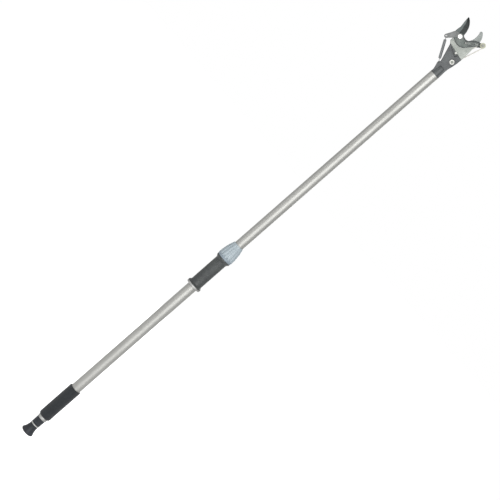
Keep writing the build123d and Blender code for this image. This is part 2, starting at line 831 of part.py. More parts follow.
# ================================================================ blade and lever
blade_tail_foot = (throat_x, blade_tail_h)
blade_tail_top = (throat_x, 2 * lever_rivet_at[1] - blade_tail_h)
with BuildPart() as blade:
    with BuildSketch(head_face(blade_back)):
        with BuildLine():
            Spline(
                blade_tip,
                blade_edge_high,
                blade_edge_middle,
                blade_edge_low,
                blade_throat,
                tangents=((0.92, -0.25), (0.05, -1)),
            )
            Line(blade_throat, blade_tail_top)
            ThreePointArc(blade_tail_top, polar(lever_rivet_at, blade_tail_r, 0), blade_tail_foot)
            Polyline(blade_tail_foot, polar(pivot, blade_heel_r, -55), polar(pivot, blade_heel_r, -90))
            ThreePointArc(
                polar(pivot, blade_heel_r, -90),
                polar(pivot, blade_heel_r, -135),
                polar(pivot, blade_back_r, -165),
            )
            Spline(
                polar(pivot, blade_back_r, -165),
                blade_spine_low,
                blade_spine_middle,
                blade_spine_high,
                blade_tip,
            )
        make_face()
    layer(blade_back, blade_front)
    blade_holes = [(pivot, pivot_r + shaft_gap), (lever_rivet_at, lever_rivet_r + seat_gap)]
    holes(blade_back, blade_front, blade_holes)
save(blade, "blade")


def lever_left_side():
    """The lever's edge from the arm's underside, round its heel and the pivot's boss, to the throat."""
    Spline(lever_heel, lever_belly_front, lever_belly_low, lever_belly_back, lever_back)
    Line(lever_back, polar(pivot, pivot_boss_r, 185))
    ThreePointArc(
        polar(pivot, pivot_boss_r, 185),
        polar(pivot, pivot_boss_r, 115),
        polar(pivot, pivot_boss_r, 55),
    )
    Spline(polar(pivot, pivot_boss_r, 55), lever_saddle_back, lever_saddle_front, lever_throat)


lever_plate_holes = [
    (lever_rivet_at, lever_rivet_r + seat_gap),
    (lever_end_rivet_at, end_rivet_r + seat_gap),
]

with BuildPart() as blade_lever:
    with BuildSketch(head_face(blade_front)):
        with BuildLine():
            lever_left_side()
            Polyline(lever_throat, arm_hook_side_low, arm_hook_side_high, arm_end_hook_side)
            Polyline(
                arm_end_hook_side,
                arm_end_heel_side,
                arm_heel_side_high,
                arm_heel_side_low,
                lever_heel,
            )
        make_face()
    layer(blade_front, lever_front)
    holes(blade_front, lever_front, [(pivot, pivot_r + shaft_gap)] + lever_plate_holes)
save(blade_lever, "blade_lever")

with BuildPart() as rear_link:
    with BuildSketch(head_face(link_back)):
        with BuildLine():
            lever_left_side()
            Polyline(
                lever_throat,
                arm_hook_side_low,
                arm_hook_side_high,
                polar(pulley_pin_at, rear_link_end_r, 130),
            )
            ThreePointArc(
                polar(pulley_pin_at, rear_link_end_r, 130),
                polar(pulley_pin_at, rear_link_end_r, 40),
                polar(pulley_pin_at, rear_link_end_r, -40),
            )
            Polyline(polar(pulley_pin_at, rear_link_end_r, -40), arm_heel_side_low, lever_heel)
        make_face()
    layer(link_back, link_front)
    link_holes = [(pivot, pivot_r + shaft_gap), (pulley_pin_at, pulley_pin_r + seat_gap)]
    holes(link_back, link_front, link_holes)
save(rear_link, "rear_link")

with BuildPart() as link_spacer:
    with BuildSketch(head_face(link_front)):
        with Locations(pivot):
            Circle(pivot_r + link_spacer_wall)
            Circle(pivot_r + shaft_gap, mode=Mode.SUBTRACT)
    extrude(amount=link_front - rear_back - blade_gap)
save(link_spacer, "link_spacer")

with BuildPart() as spring_arm:
    with BuildSketch(head_face(lever_front)):
        with BuildLine():
            Polyline(
                polar(pivot, spring_arm_boss_r, 75),
                polar(pivot, spring_arm_shoulder_r, 172),
                spring_arm_back,
                polar(spring_eye, spring_arm_end_r, 155),
            )
            ThreePointArc(
                polar(spring_eye, spring_arm_end_r, 155),
                polar(spring_eye, spring_arm_end_r, -110),
                polar(spring_eye, spring_arm_end_r, -30),
            )
            Polyline(
                polar(spring_eye, spring_arm_end_r, -30),
                spring_arm_front_side,
                polar(pivot, spring_arm_heel_r, -120),
            )
            ThreePointArc(
                polar(pivot, spring_arm_heel_r, -120),
                polar(pivot, spring_arm_boss_r, -20),
                polar(pivot, spring_arm_boss_r, 75),
            )
        make_face()
    layer(lever_front, spring_arm_front)
    holes(lever_front, spring_arm_front, [(pivot, pivot_r + shaft_gap), (spring_eye, spring_hole_r)])
save(spring_arm, "spring_arm")

lever_plate_dx = lever_end_rivet_at[0] - lever_rivet_at[0]
lever_plate_dh = lever_end_rivet_at[1] - lever_rivet_at[1]
lever_plate_angle = degrees(atan2(lever_plate_dh, lever_plate_dx))
lever_plate_run = hypot(lever_plate_dx, lever_plate_dh)
lever_plate_middle = (lever_rivet_at[0] + lever_plate_dx / 2, lever_rivet_at[1] + lever_plate_dh / 2)
lever_slot_middle = polar(lever_plate_middle, lever_plate_run / 8, lever_plate_angle)
with BuildPart() as lever_plate:
    with BuildSketch(head_face(lever_front)):
        with Locations(lever_plate_middle):
            SlotCenterToCenter(lever_plate_run, lever_plate_width, rotation=lever_plate_angle)
        with Locations(lever_slot_middle):
            SlotCenterToCenter(
                lever_slot_length, lever_slot_width, rotation=lever_plate_angle, mode=Mode.SUBTRACT
            )
    layer(lever_front, lever_plate_front)
    holes(lever_front, lever_plate_front, lever_plate_holes)
save(lever_plate, "lever_plate")

with BuildPart() as lever_rivet:
    head_rod(blade_back - small_chamfer, lever_plate_front, lever_rivet_at, lever_rivet_r)
    head_rod(lever_plate_front, lever_plate_front - rivet_head_t, lever_rivet_at, lever_rivet_head_r)
    fillet(lever_rivet.faces().sort_by(Axis.Y)[0].edges(), radius=rivet_round)
save(lever_rivet, "lever_rivet")

with BuildPart() as lever_end_rivet:
    head_rod(blade_front, lever_plate_front, lever_end_rivet_at, end_rivet_r)
    head_rod(lever_plate_front, lever_plate_front - rivet_head_t, lever_end_rivet_at, end_rivet_head_r)
    fillet(lever_end_rivet.faces().sort_by(Axis.Y)[0].edges(), radius=rivet_round)
save(lever_end_rivet, "lever_end_rivet")

pin_head_back = -pulley_t / 2 - free_gap
with BuildPart() as pulley_pin:
    head_rod(link_back + rivet_head_t, pin_head_back, pulley_pin_at, pulley_pin_r)
    head_rod(pin_head_back, pin_head_back - rivet_head_t, pulley_pin_at, pulley_pin_head_r)
    head_rod(link_back + rivet_head_t, link_back, pulley_pin_at, pulley_pin_head_r)
    head_rod(link_front, pulley_t / 2 + free_gap, pulley_pin_at, pulley_pin_head_r)
save(pulley_pin, "pulley_pin")


# ================================================================ pulleys
def pulley(place, outer_r, bore_r, groove_centre_r):
    """A grooved pulley about a Y axis, whose groove holds the cord at a radius."""
    with BuildSketch(head_face(pulley_t / 2)) as disc:
        with Locations(place):
            Circle(outer_r)
            Circle(bore_r, mode=Mode.SUBTRACT)
    extrude(disc.sketch, amount=pulley_t)
    groove = Torus(groove_centre_r, cord_r + groove_gap, mode=Mode.PRIVATE).rotate(Axis.X, 90)
    mouth = Cylinder(outer_r + cut_over, 2 * (cord_r + groove_gap), mode=Mode.PRIVATE)
    core = Cylinder(groove_centre_r, 2 * (cord_r + groove_gap) + cut_over, mode=Mode.PRIVATE)
    throat = (mouth - core).rotate(Axis.X, 90)
    centre = Location((place[0], 0, head_z + place[1]))
    add(centre * groove, mode=Mode.SUBTRACT)
    add(centre * throat, mode=Mode.SUBTRACT)


with BuildPart() as guide_pulley:
    pulley(bolt, guide_pulley_r, bolt_r + shaft_gap, bolt[0])
save(guide_pulley, "guide_pulley")

with BuildPart() as arm_pulley:
    pulley(pulley_pin_at, arm_pulley_r, pulley_pin_r + shaft_gap, arm_groove_r)
save(arm_pulley, "arm_pulley")

# ================================================================ cord in the upper tube and the head
with BuildPart() as cord_upper:
    with BuildSketch(Plane.XY.offset(bush_foot_z)):
        Circle(cord_r)
    extrude(amount=head_z + cord_meets_head_h - bush_foot_z)
save(cord_upper, "cord_upper")

guide_groove_r = bolt[0]
run_length = hypot(pulley_pin_at[0] - bolt[0], pulley_pin_at[1] - bolt[1])
run_heading = degrees(atan2(pulley_pin_at[1] - bolt[1], pulley_pin_at[0] - bolt[0]))
run_angle = run_heading + degrees(asin((arm_groove_r - guide_groove_r) / run_length))
back_length = hypot(anchor[0] - pulley_pin_at[0], anchor[1] - pulley_pin_at[1])
back_heading = degrees(atan2(anchor[1] - pulley_pin_at[1], anchor[0] - pulley_pin_at[0]))
back_angle = back_heading - degrees(asin(arm_groove_r / back_length))
eye_r = anchor_r + seat_gap + cord_r

with BuildPart() as head_cord:
    with BuildLine(head_face(0)) as head_cord_path:
        Line((0, cord_meets_head_h), (0, bolt[1]))
        CenterArc(bolt, guide_groove_r, 180, run_angle - 90)
        Line(
            polar(bolt, guide_groove_r, run_angle + 90),
            polar(pulley_pin_at, arm_groove_r, run_angle + 90),
        )
        CenterArc(pulley_pin_at, arm_groove_r, run_angle + 90, back_angle - run_angle)
        Line(
            polar(pulley_pin_at, arm_groove_r, back_angle + 90),
            polar(anchor, eye_r, back_heading + 180),
        )
    with BuildSketch(Plane(origin=(0, 0, head_z + cord_meets_head_h), z_dir=(0, 0, 1))):
        Circle(cord_r)
    sweep(path=head_cord_path.line)
    eye = Torus(eye_r, cord_r, mode=Mode.PRIVATE).rotate(Axis.X, 90)
    add(Location((anchor[0], 0, head_z + anchor[1])) * eye)
save(head_cord, "head_cord")

# ================================================================ return spring
spring_run = hypot(spring_eye[0] - spring_foot[0], spring_eye[1] - spring_foot[1])
spring_axis = Vector(spring_eye[0] - spring_foot[0], 0, spring_eye[1] - spring_foot[1]).normalized()
spring_side = Vector(spring_axis.Z, 0, -spring_axis.X)
spring_origin = Vector(spring_foot[0], spring_y, head_z + spring_foot[1])
spring_profile = Plane(origin=spring_origin, x_dir=spring_side, z_dir=spring_side.cross(spring_axis))
coil_count = round((spring_coil_end - spring_coil_start) / spring_pitch)
coil_pitch = (spring_coil_end - spring_coil_start) / coil_count
coil_core_r = spring_coil_r - 2 * spring_wire_r
spring_seat_y = spring_seat_depth - cheek_depth - small_chamfer

with BuildPart() as return_spring:
    with BuildSketch(spring_profile):
        with BuildLine():
            Line((0, spring_coil_end), (0, spring_coil_start))
            Line((0, spring_coil_start), (spring_coil_r - spring_wire_r, spring_coil_start))
            for coil in range(coil_count):
                foot = spring_coil_start + coil * coil_pitch
                ThreePointArc(
                    (spring_coil_r - spring_wire_r, foot),
                    (spring_coil_r, foot + coil_pitch / 2),
                    (spring_coil_r - spring_wire_r, foot + coil_pitch),
                )
            Line((spring_coil_r - spring_wire_r, spring_coil_end), (0, spring_coil_end))
        make_face()
    revolve(axis=Axis(spring_origin, spring_axis))
    core_foot = spring_origin + spring_axis * (spring_coil_start + spring_coil_wall)
    with BuildSketch(Plane(origin=core_foot, z_dir=spring_axis)):
        Circle(coil_core_r)
    extrude(amount=spring_coil_end - spring_coil_start - 2 * spring_coil_wall, mode=Mode.SUBTRACT)
    with BuildSketch(Plane(origin=spring_origin, z_dir=spring_axis)):
        Circle(spring_wire_r)
    extrude(amount=spring_coil_start + spring_stem_lap)
    head_rod(spring_seat_y, spring_y - spring_wire_r, spring_foot, spring_wire_r)
save(return_spring, "return_spring")

spring_coil_head = spring_origin + spring_axis * spring_coil_end
spring_corner = spring_origin + spring_axis * spring_run
spring_hook_end = Vector(spring_corner.X, spring_arm_front - 2 * spring_wire_r, spring_corner.Z)
with BuildPart() as spring_end_hook:
    with BuildLine():
        FilletPolyline(spring_coil_head, spring_corner, spring_hook_end, radius=spring_bend_r)
    with BuildSketch(Plane(origin=spring_coil_head, z_dir=spring_axis)):
        Circle(spring_wire_r)
    sweep()
save(spring_end_hook, "spring_end_hook")

# ================================================================ how far things move
eye_closed = turned_about_pivot(spring_eye, closing_angle)
pin_closed = turned_about_pivot(pulley_pin_at, closing_angle)
spring_run_closed = hypot(eye_closed[0] - spring_foot[0], eye_closed[1] - spring_foot[1])
spring_turn = degrees(
    atan2(eye_closed[0] - spring_foot[0], eye_closed[1] - spring_foot[1])
    - atan2(spring_eye[0] - spring_foot[0], spring_eye[1] - spring_foot[1])
)
run_closed = hypot(pin_closed[0] - bolt[0], pin_closed[1] - bolt[1])
cord_travel = 2 * (run_length - run_closed)
print(f"overall length {head_z + hook_tip[1]:.1f}, head socket shoulder at z {head_z:.2f}")
spring_stretch = spring_run_closed - spring_run
print(f"closing the blade stretches the spring {spring_stretch:.2f} and turns it {spring_turn:.3f} deg")
print(f"spring axis {spring_axis.X:.6f} {spring_axis.Z:.6f}, pulley pin closed at {pin_closed}")
print(f"cord travel {cord_travel:.2f} mm, guide pulley {degrees(cord_travel / guide_groove_r):.1f} deg, "
      f"arm pulley {degrees(cord_travel / 2 / arm_groove_r):.1f} deg")
head_cord_length = sum(edge.length for edge in head_cord_path.line.edges())
cord_length = head_cord_length + head_z + cord_meets_head_h - (knob_length - 2 * knot_r)
print(f"cord in the head {head_cord_length:.1f} mm, whole cord {cord_length:.0f} mm")
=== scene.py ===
"""A telescoping pole pruner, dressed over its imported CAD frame.

The pole stands along +Z with its pull knob at the foot, and the shears open in the
XZ plane. Everything is in metres, in the frame of the CAD part.
"""
import json
import math

import bpy
import bmesh
import numpy as np
from mathutils import Matrix, Vector, noise
from mathutils.geometry import delaunay_2d_cdt


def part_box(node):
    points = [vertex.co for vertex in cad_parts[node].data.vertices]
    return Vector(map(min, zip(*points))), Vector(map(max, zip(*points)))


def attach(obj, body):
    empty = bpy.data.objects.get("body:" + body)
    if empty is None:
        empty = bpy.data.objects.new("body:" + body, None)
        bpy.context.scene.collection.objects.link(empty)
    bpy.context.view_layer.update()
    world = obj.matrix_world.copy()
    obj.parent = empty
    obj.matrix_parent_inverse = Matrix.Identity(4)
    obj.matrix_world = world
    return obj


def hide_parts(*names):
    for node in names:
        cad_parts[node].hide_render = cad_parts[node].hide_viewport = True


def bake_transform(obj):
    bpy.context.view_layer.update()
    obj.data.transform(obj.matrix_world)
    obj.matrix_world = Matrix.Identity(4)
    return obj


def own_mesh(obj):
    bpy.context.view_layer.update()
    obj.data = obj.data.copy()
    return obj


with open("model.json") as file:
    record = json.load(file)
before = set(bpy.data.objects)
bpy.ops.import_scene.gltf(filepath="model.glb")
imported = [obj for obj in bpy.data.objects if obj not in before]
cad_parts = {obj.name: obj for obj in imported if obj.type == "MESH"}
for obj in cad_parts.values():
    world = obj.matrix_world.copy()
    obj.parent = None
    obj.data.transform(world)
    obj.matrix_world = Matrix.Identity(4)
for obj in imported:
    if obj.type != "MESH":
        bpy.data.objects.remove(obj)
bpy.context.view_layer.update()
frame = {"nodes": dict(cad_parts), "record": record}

MM = 0.001
NODES = frame["nodes"]
SCENE = bpy.context.scene
SCENE.view_settings.view_transform = "Standard"
HEAD_H = 1372.4                        # mm: top of the upper tube, where the head's own heights start
FIT = 0.05                             # mm: gap round a part that sits over another

# ---------------------------------------------------------------- camera

IMAGE_SIZE = 500
FOCAL_PIXELS = 1719
SENSOR_MM = 36
CAMERA_AIM = Vector((0.0263, 0.0, 0.74295))
CAMERA_DISTANCE = 4.30
CAMERA_RISE = math.radians(7.3)        # above the level, looking along +Y
CAMERA_ROLL = math.radians(48.85)      # the pole runs from lower left to upper right


def place_camera():
    data = bpy.data.cameras.new("camera")
    data.sensor_width = SENSOR_MM
    data.lens = FOCAL_PIXELS * SENSOR_MM / IMAGE_SIZE
    data.clip_end = 100
    eye = bpy.data.objects.new("camera", data)
    back = Vector((0, -math.cos(CAMERA_RISE), math.sin(CAMERA_RISE)))
    turn = Matrix.Rotation(math.pi / 2 - CAMERA_RISE, 4, "X") @ Matrix.Rotation(CAMERA_ROLL, 4, "Z")
    eye.matrix_world = Matrix.Translation(CAMERA_AIM + CAMERA_DISTANCE * back) @ turn
    SCENE.collection.objects.link(eye)
    SCENE.camera = eye


place_camera()

# ---------------------------------------------------------------- node helpers


class Nodes:
    """A node tree with short calls: add a node, set its inputs, join what is given."""

    MIX_SHARE, MIX_FIRST, MIX_SECOND = 0, 6, 7      # the mix node's inputs when it mixes colours
    MIX_COLOUR = 2                                  # and its output

    def __init__(self, tree):
        self.tree = tree
        tree.nodes.clear()

    def add(self, kind, inputs=(), **settings):
        node = self.tree.nodes.new(kind)
        for name, value in settings.items():
            setattr(node, name, value)
        for key, value in dict(inputs).items():
            self.give(node.inputs[key], value)
        return node

    def give(self, socket, value):
        if isinstance(value, bpy.types.NodeSocket):
            self.tree.links.new(value, socket)
        else:
            socket.default_value = value

    def place(self, stretch=(1, 1, 1)):
        """The object's own coordinates, stretched for grain that runs one way."""
        spot = self.add("ShaderNodeTexCoord").outputs["Object"]
        return self.add("ShaderNodeMapping", {"Vector": spot, "Scale": stretch}).outputs["Vector"]

    def grain(self, scale, stretch=(1, 1, 1), detail=3.0, rough=0.55):
        """Noise about 0.5 in the middle; scale is in waves a metre."""
        return self.add("ShaderNodeTexNoise", {
            "Vector": self.place(stretch), "Scale": scale, "Detail": detail,
            "Roughness": rough}).outputs["Fac"]

    def span(self, value, low, high, to_low=0.0, to_high=1.0):
        """value moved from low..high to to_low..to_high, and held at both ends."""
        return self.add("ShaderNodeMapRange", {
            "Value": value, "From Min": low, "From Max": high,
            "To Min": to_low, "To Max": to_high}).outputs["Result"]

    def maths(self, what, first, second=0.0):
        return self.add("ShaderNodeMath", {0: first, 1: second}, operation=what).outputs[0]

    def mix(self, share, first, second):
        node = self.add("ShaderNodeMix", data_type="RGBA")
        self.give(node.inputs[self.MIX_SHARE], share)
        self.give(node.inputs[self.MIX_FIRST], first)
        self.give(node.inputs[self.MIX_SECOND], second)
        return node.outputs[self.MIX_COLOUR]

    def weighted(self, first, share, second, other_share):
        """first times share, and second times other_share, added up."""
        return self.maths("ADD", self.maths("MULTIPLY", first, share),
                          self.maths("MULTIPLY", second, other_share))

    def bump(self, height, strength, depth):
        return self.add("ShaderNodeBump", {
            "Height": height, "Strength": strength, "Distance": depth}).outputs["Normal"]


def tone(red, green, blue):
    """A colour as it looks on a screen, 0 to 255, as the linear colour that a shader takes."""
    def linear(value):
        part = value / 255
        return part / 12.92 if part <= 0.04045 else ((part + 0.055) / 1.055) ** 2.4
    return (linear(red), linear(green), linear(blue), 1.0)


def new_material(name, make):
    """A material whose surface is what make returns: a dict of the shader's own inputs."""
    material = bpy.data.materials.new(name)
    material.use_nodes = True
    net = Nodes(material.node_tree)
    shader = net.add("ShaderNodeBsdfPrincipled", make(net))
    net.add("ShaderNodeOutputMaterial", {"Surface": shader.outputs[0]})
    return material


# ---------------------------------------------------------------- stage

WHITE = (1.0, 1.0, 1.0, 1.0)
FLOOR_Z = -0.15                        # under the pull knob at the end of its travel
FLOOR_REACH = 14.0
FLOOR_GREY = (0.82, 0.82, 0.82, 1.0)
FLOOR_GLOW = 0.55                      # lifts the floor to white and leaves its soft shadow
WORLD_LIGHT = 0.55


def seen_directly(net):
    """1 for camera, glossy and transmission rays, which meet the white background."""
    path = net.add("ShaderNodeLightPath")
    first = net.maths("MAXIMUM", path.outputs["Is Camera Ray"], path.outputs["Is Glossy Ray"])
    return net.maths("MAXIMUM", first, path.outputs["Is Transmission Ray"])


def build_world():
    world = bpy.data.worlds.new("studio")
    SCENE.world = world
    world.use_nodes = True
    net = Nodes(world.node_tree)
    plain = net.add("ShaderNodeBackground", {"Color": WHITE, "Strength": WORLD_LIGHT})
    white = net.add("ShaderNodeBackground", {"Color": WHITE, "Strength": 1.0})
    both = net.add("ShaderNodeMixShader", {
        0: seen_directly(net), 1: plain.outputs[0], 2: white.outputs[0]})
    net.add("ShaderNodeOutputWorld", {"Surface": both.outputs[0]})


def build_floor():
    mesh = bpy.data.meshes.new("floor")
    r = FLOOR_REACH
    mesh.from_pydata([(-r, -r, FLOOR_Z), (r, -r, FLOOR_Z), (r, r, FLOOR_Z), (-r, r, FLOOR_Z)],
                     [], [(0, 1, 2, 3)])
    floor = bpy.data.objects.new("floor", mesh)
    SCENE.collection.objects.link(floor)
    material = bpy.data.materials.new("floor")
    material.use_nodes = True
    net = Nodes(material.node_tree)
    paint = net.add("ShaderNodeBsdfDiffuse", {"Color": FLOOR_GREY})
    glow = net.add("ShaderNodeEmission", {
        "Color": WHITE, "Strength": net.maths("MULTIPLY", seen_directly(net), FLOOR_GLOW)})
    both = net.add("ShaderNodeAddShader", {0: paint.outputs[0], 1: glow.outputs[0]})
    net.add("ShaderNodeOutputMaterial", {"Surface": both.outputs[0]})
    mesh.materials.append(material)


def lamp(name, place, aim, size, power):
    """A soft rectangular lamp, size (wide, high), that faces aim."""
    data = bpy.data.lights.new(name, "AREA")
    data.shape = "RECTANGLE"
    data.size, data.size_y = size
    data.energy = power
    light = bpy.data.objects.new(name, data)
    light.location = place
    light.rotation_euler = (Vector(aim) - Vector(place)).to_track_quat("-Z", "Y").to_euler()
    light.visible_camera = False
    SCENE.collection.objects.link(light)


build_world()
build_floor()
POLE_MIDDLE = (0, 0, 0.75)
lamp("key", (0.7, -2.9, 1.2), POLE_MIDDLE, (2.8, 2.4), 96)
lamp("fill", (-2.6, -1.6, 1.4), POLE_MIDDLE, (1.2, 2.2), 14)
lamp("back", (0.6, 2.9, 1.4), POLE_MIDDLE, (2.4, 2.4), 55)

# ---------------------------------------------------------------- materials

TONE_SPAN = (0.36, 0.64)               # the part of a noise that goes from the low tone to the high one
GRAIN_SPAN = (0.3, 0.7)                # the part of it that changes the roughness
DRAWN_LINES = 2600                     # scales are in waves a metre
DRAWN_DEPTH = 0.00003                  # depths are in metres
METAL_PITS = 900
PIT_DEPTH = 0.00004
SPARKED_SKIN = 2200
CONVEX = (0.51, 0.58)                  # the pointiness at which wear starts, and at which it is full
# how far a sheet's rim is painted darker, as painted shade
RIM_SHADE_REACH = (0.9 * MM, 2.2 * MM)       # a dark rim is full up to the first and gone at the second


def drawn_metal(low, high, rough):
    """Tube drawn along Z: fine lengthwise lines, cloudy patches and a few scuffs."""
    def make(net):
        streaks = net.grain(DRAWN_LINES, (1, 1, 0.012), 4.0)
        cloud = net.grain(26, (1, 1, 0.35), 4.0)
        scuffs = net.span(net.grain(520, (1, 1, 0.16), 6.0, 0.7), 0.62, 0.74)
        shade = net.weighted(streaks, 0.45, cloud, 0.55)
        return {
            "Base Color": net.mix(net.span(shade, *TONE_SPAN), low, high),
            "Metallic": 1.0,
            "Roughness": net.maths("ADD", net.span(shade, *GRAIN_SPAN, rough + 0.05, rough - 0.05),
                                   net.maths("MULTIPLY", scuffs, 0.12)),
            "Normal": net.bump(net.maths("ADD", streaks, scuffs), 0.25, DRAWN_DEPTH),
        }
    return make


def flat_metal(low, high, rough, metallic=1.0, rim=None):
    """Sheet or small turned parts: cloudy tone and a fine pitted grain all ways.

    rim is a darker tone, painted shade, for the last millimetre or two before a sheet's edge.
    """
    def make(net):
        cloud = net.grain(70, detail=5.0)
        pitted = net.grain(METAL_PITS, detail=4.0, rough=0.65)
        shade = net.weighted(pitted, 0.4, cloud, 0.6)
        result = {
            "Base Color": net.mix(net.span(shade, *TONE_SPAN), low, high),
            "Metallic": metallic,
            "Roughness": net.span(shade, *GRAIN_SPAN, rough + 0.07, rough - 0.05),
            "Normal": net.bump(pitted, 0.35, PIT_DEPTH),
        }
        if rim:
            from_edge = net.add("ShaderNodeAttribute", attribute_name="from_edge").outputs["Fac"]
            result["Base Color"] = net.mix(net.span(from_edge, *RIM_SHADE_REACH), rim, result["Base Color"])
        return result
    return make


def worn_edges(net, colour, bright, amount):
    """Brightens convex edges a little, broken up by noise."""
    edge = net.span(net.add("ShaderNodeNewGeometry").outputs["Pointiness"], *CONVEX)
    share = net.maths("MULTIPLY", edge, net.span(net.grain(600, detail=4.0), 0.4, 0.65))
    return net.mix(net.maths("MULTIPLY", share, amount), colour, bright)


def moulded(low, high, rough, skin_depth=0.00005, gloss=0.5, cloud_scale=55):
    """Moulded plastic: slight cloudiness, a fine spark-eroded skin and faint handling marks."""
    def make(net):
        cloud = net.grain(cloud_scale, detail=5.0)
        skin = net.grain(SPARKED_SKIN, detail=2.0, rough=0.5)
        marks = net.span(net.grain(240, (1, 1, 0.4), 7.0, 0.72), 0.6, 0.75)
        colour = net.mix(net.span(cloud, *TONE_SPAN), low, high)
        return {
            "Base Color": worn_edges(net, colour, high, 0.6),
            "Roughness": net.maths("ADD", net.span(skin, *GRAIN_SPAN, rough - 0.05, rough + 0.05),
                                   net.maths("MULTIPLY", marks, 0.1)),
            "Specular IOR Level": gloss,
            "Normal": net.bump(skin, 0.4, skin_depth),
        }
    return make


def foam(low, high):
    """Closed-cell rubber foam: dull, with open pores in its cut skin."""
    def make(net):
        pores = net.add("ShaderNodeTexVoronoi", {
            "Vector": net.place(), "Scale": 850.0, "Randomness": 1.0}).outputs["Distance"]
        lumps = net.grain(420, detail=5.0, rough=0.6)
        cloud = net.grain(45, detail=4.0)
        shade = net.weighted(pores, 0.5, cloud, 0.6)
        return {
            "Base Color": net.mix(net.span(shade, 0.25, 0.75), low, high),
            "Roughness": net.span(lumps, *GRAIN_SPAN, 0.95, 0.78),
            "Specular IOR Level": 0.3,
            "Sheen Weight": 0.12,
            "Sheen Roughness": 0.6,
            "Normal": net.bump(net.maths("ADD", pores, lumps), 0.7, 0.00022),
        }
    return make


def fibres(low, high):
    """Braided polyester: soft threads with a little sheen."""
    def make(net):
        threads = net.grain(5200, (1, 1, 0.3), 3.0)
        cloud = net.grain(160, detail=4.0)
        shade = net.weighted(threads, 0.5, cloud, 0.5)
        return {
            "Base Color": net.mix(net.span(shade, 0.35, 0.65), low, high),
            "Roughness": net.span(threads, *GRAIN_SPAN, 0.85, 0.7),
            "Specular IOR Level": 0.3,
            "Sheen Weight": 0.25,
            "Sheen Roughness": 0.5,
            "Normal": net.bump(threads, 0.5, 0.00008),
        }
    return make


def with_painted_light_and_shade(make, light_and_shade_patches):
    """A finish with soft round patches of painted light and painted shade on the head.

    Each patch is (x, h, reach_x, reach_h) in mm, its tone, its strength and how soft its rim is.
    """
    def made(net):
        result = make(net)
        place = net.add("ShaderNodeTexCoord").outputs["Object"]
        spot = net.add("ShaderNodeSeparateXYZ", {"Vector": place})
        for (x, h, reach_x, reach_h), other, strength, soft in light_and_shade_patches:
            along = net.maths("SUBTRACT", spot.outputs["X"], x * MM)
            along = net.maths("DIVIDE", along, reach_x * MM)
            up = net.maths("SUBTRACT", spot.outputs["Z"], (HEAD_H + h) * MM)
            up = net.maths("DIVIDE", up, reach_h * MM)
            away = net.maths("ADD", net.maths("MULTIPLY", along, along),
                             net.maths("MULTIPLY", up, up))
            away = net.maths("SQRT", away)
            share = net.span(away, 1 - soft, 1.0, strength, 0.0)
            # each patch mixes in its tone: painted light where it is lighter, painted shade where it is
            # darker
            result["Base Color"] = net.mix(share, result["Base Color"], other)
        return result
    return made


FINISHES = {
    "satin_aluminium": drawn_metal(tone(143, 143, 140), tone(152, 152, 149), 0.52),
    "ring_metal": flat_metal(tone(138, 138, 137), tone(150, 150, 148), 0.5),
    "black_foam": foam(tone(15, 18, 21), tone(32, 36, 39)),
    "black_plastic": moulded(tone(31, 35, 36), tone(46, 50, 49), 0.5),
    "knob_black": moulded(tone(22, 25, 30), tone(37, 41, 47), 0.5, gloss=0.28),
    # The socket's patches: painted light on the fan's middle, and painted shade by its upper edge, where
    # the plates' step shades it.
    "socket_plastic": with_painted_light_and_shade(
        moulded(tone(43, 46, 48), tone(60, 64, 65), 0.48),
        [((-14, 55, 14, 12), tone(66, 71, 72), 0.5, 0.6),
         ((-6, 70, 13, 7), tone(26, 29, 30), 0.6, 0.6)]),
    # Bolt steel, with painted shade darkening the head bolt's hex socket.
    "bolt_steel_painted_shade": with_painted_light_and_shade(
        flat_metal(tone(132, 132, 129), tone(150, 150, 146), 0.4),
        [((5.5, 51.4, 3.9, 3.9), tone(84, 88, 82), 0.85, 0.12)]),
    "blue_grey_plastic": moulded(
        tone(136, 147, 153), tone(144, 154, 159), 0.42, skin_depth=0.00001, cloud_scale=20),
    # The collar's band: the same plastic painted darker, as painted shade on its upright face.
    "band_plastic_painted_shade": moulded(
        tone(112, 123, 131), tone(121, 132, 141), 0.45, skin_depth=0.00001, cloud_scale=20),
    # The pulley's middle is painted darker round its pin: painted shade.
    "natural_plastic": with_painted_light_and_shade(
        moulded(tone(145, 145, 127), tone(162, 164, 145), 0.5),
        [((25.1, 134, 5.5, 5.5), tone(96, 90, 76), 0.5, 0.8)]),
    "zinc_steel": flat_metal(tone(113, 117, 112), tone(131, 134, 130), 0.5, metallic=0.7),
    # The hook: ground smoother, with its tone painted darker as painted shade.
    "hook_steel_painted_shade": flat_metal(tone(94, 98, 96), tone(110, 113, 111), 0.42, metallic=0.7),
    "bright_hardware": flat_metal(tone(158, 158, 156), tone(172, 172, 169), 0.36),
    "dull_hardware": flat_metal(tone(98, 99, 97), tone(122, 123, 120), 0.42, metallic=0.7),
    "blackened_steel": flat_metal(tone(54, 60, 59), tone(68, 74, 73), 0.42, metallic=0.6),
    "ground_edge": flat_metal(tone(14, 19, 18), tone(23, 29, 28), 0.4, metallic=0.6),
    # The lever: painted shade along its rims, and a darker patch of painted shade on its body about (8,
    # 120).
    "lever_black": with_painted_light_and_shade(
        flat_metal(tone(60, 66, 63), tone(79, 84, 81), 0.42, metallic=0.5, rim=tone(30, 34, 36)),
        [((8, 120, 21, 18), tone(38, 42, 42), 0.75, 0.4)]),
    "arm_grey": flat_metal(tone(77, 79, 78), tone(92, 93, 93), 0.42, metallic=0.6),
    "grey_steel": flat_metal(tone(74, 78, 76), tone(94, 97, 94), 0.42, metallic=0.7),
    "spring_steel": flat_metal(tone(114, 116, 118), tone(132, 135, 135), 0.62, metallic=0.7),
    "cream_cord": fibres(tone(186, 183, 174), tone(199, 197, 189)),
}
MATERIALS = {name: new_material(name, make) for name, make in FINISHES.items()}


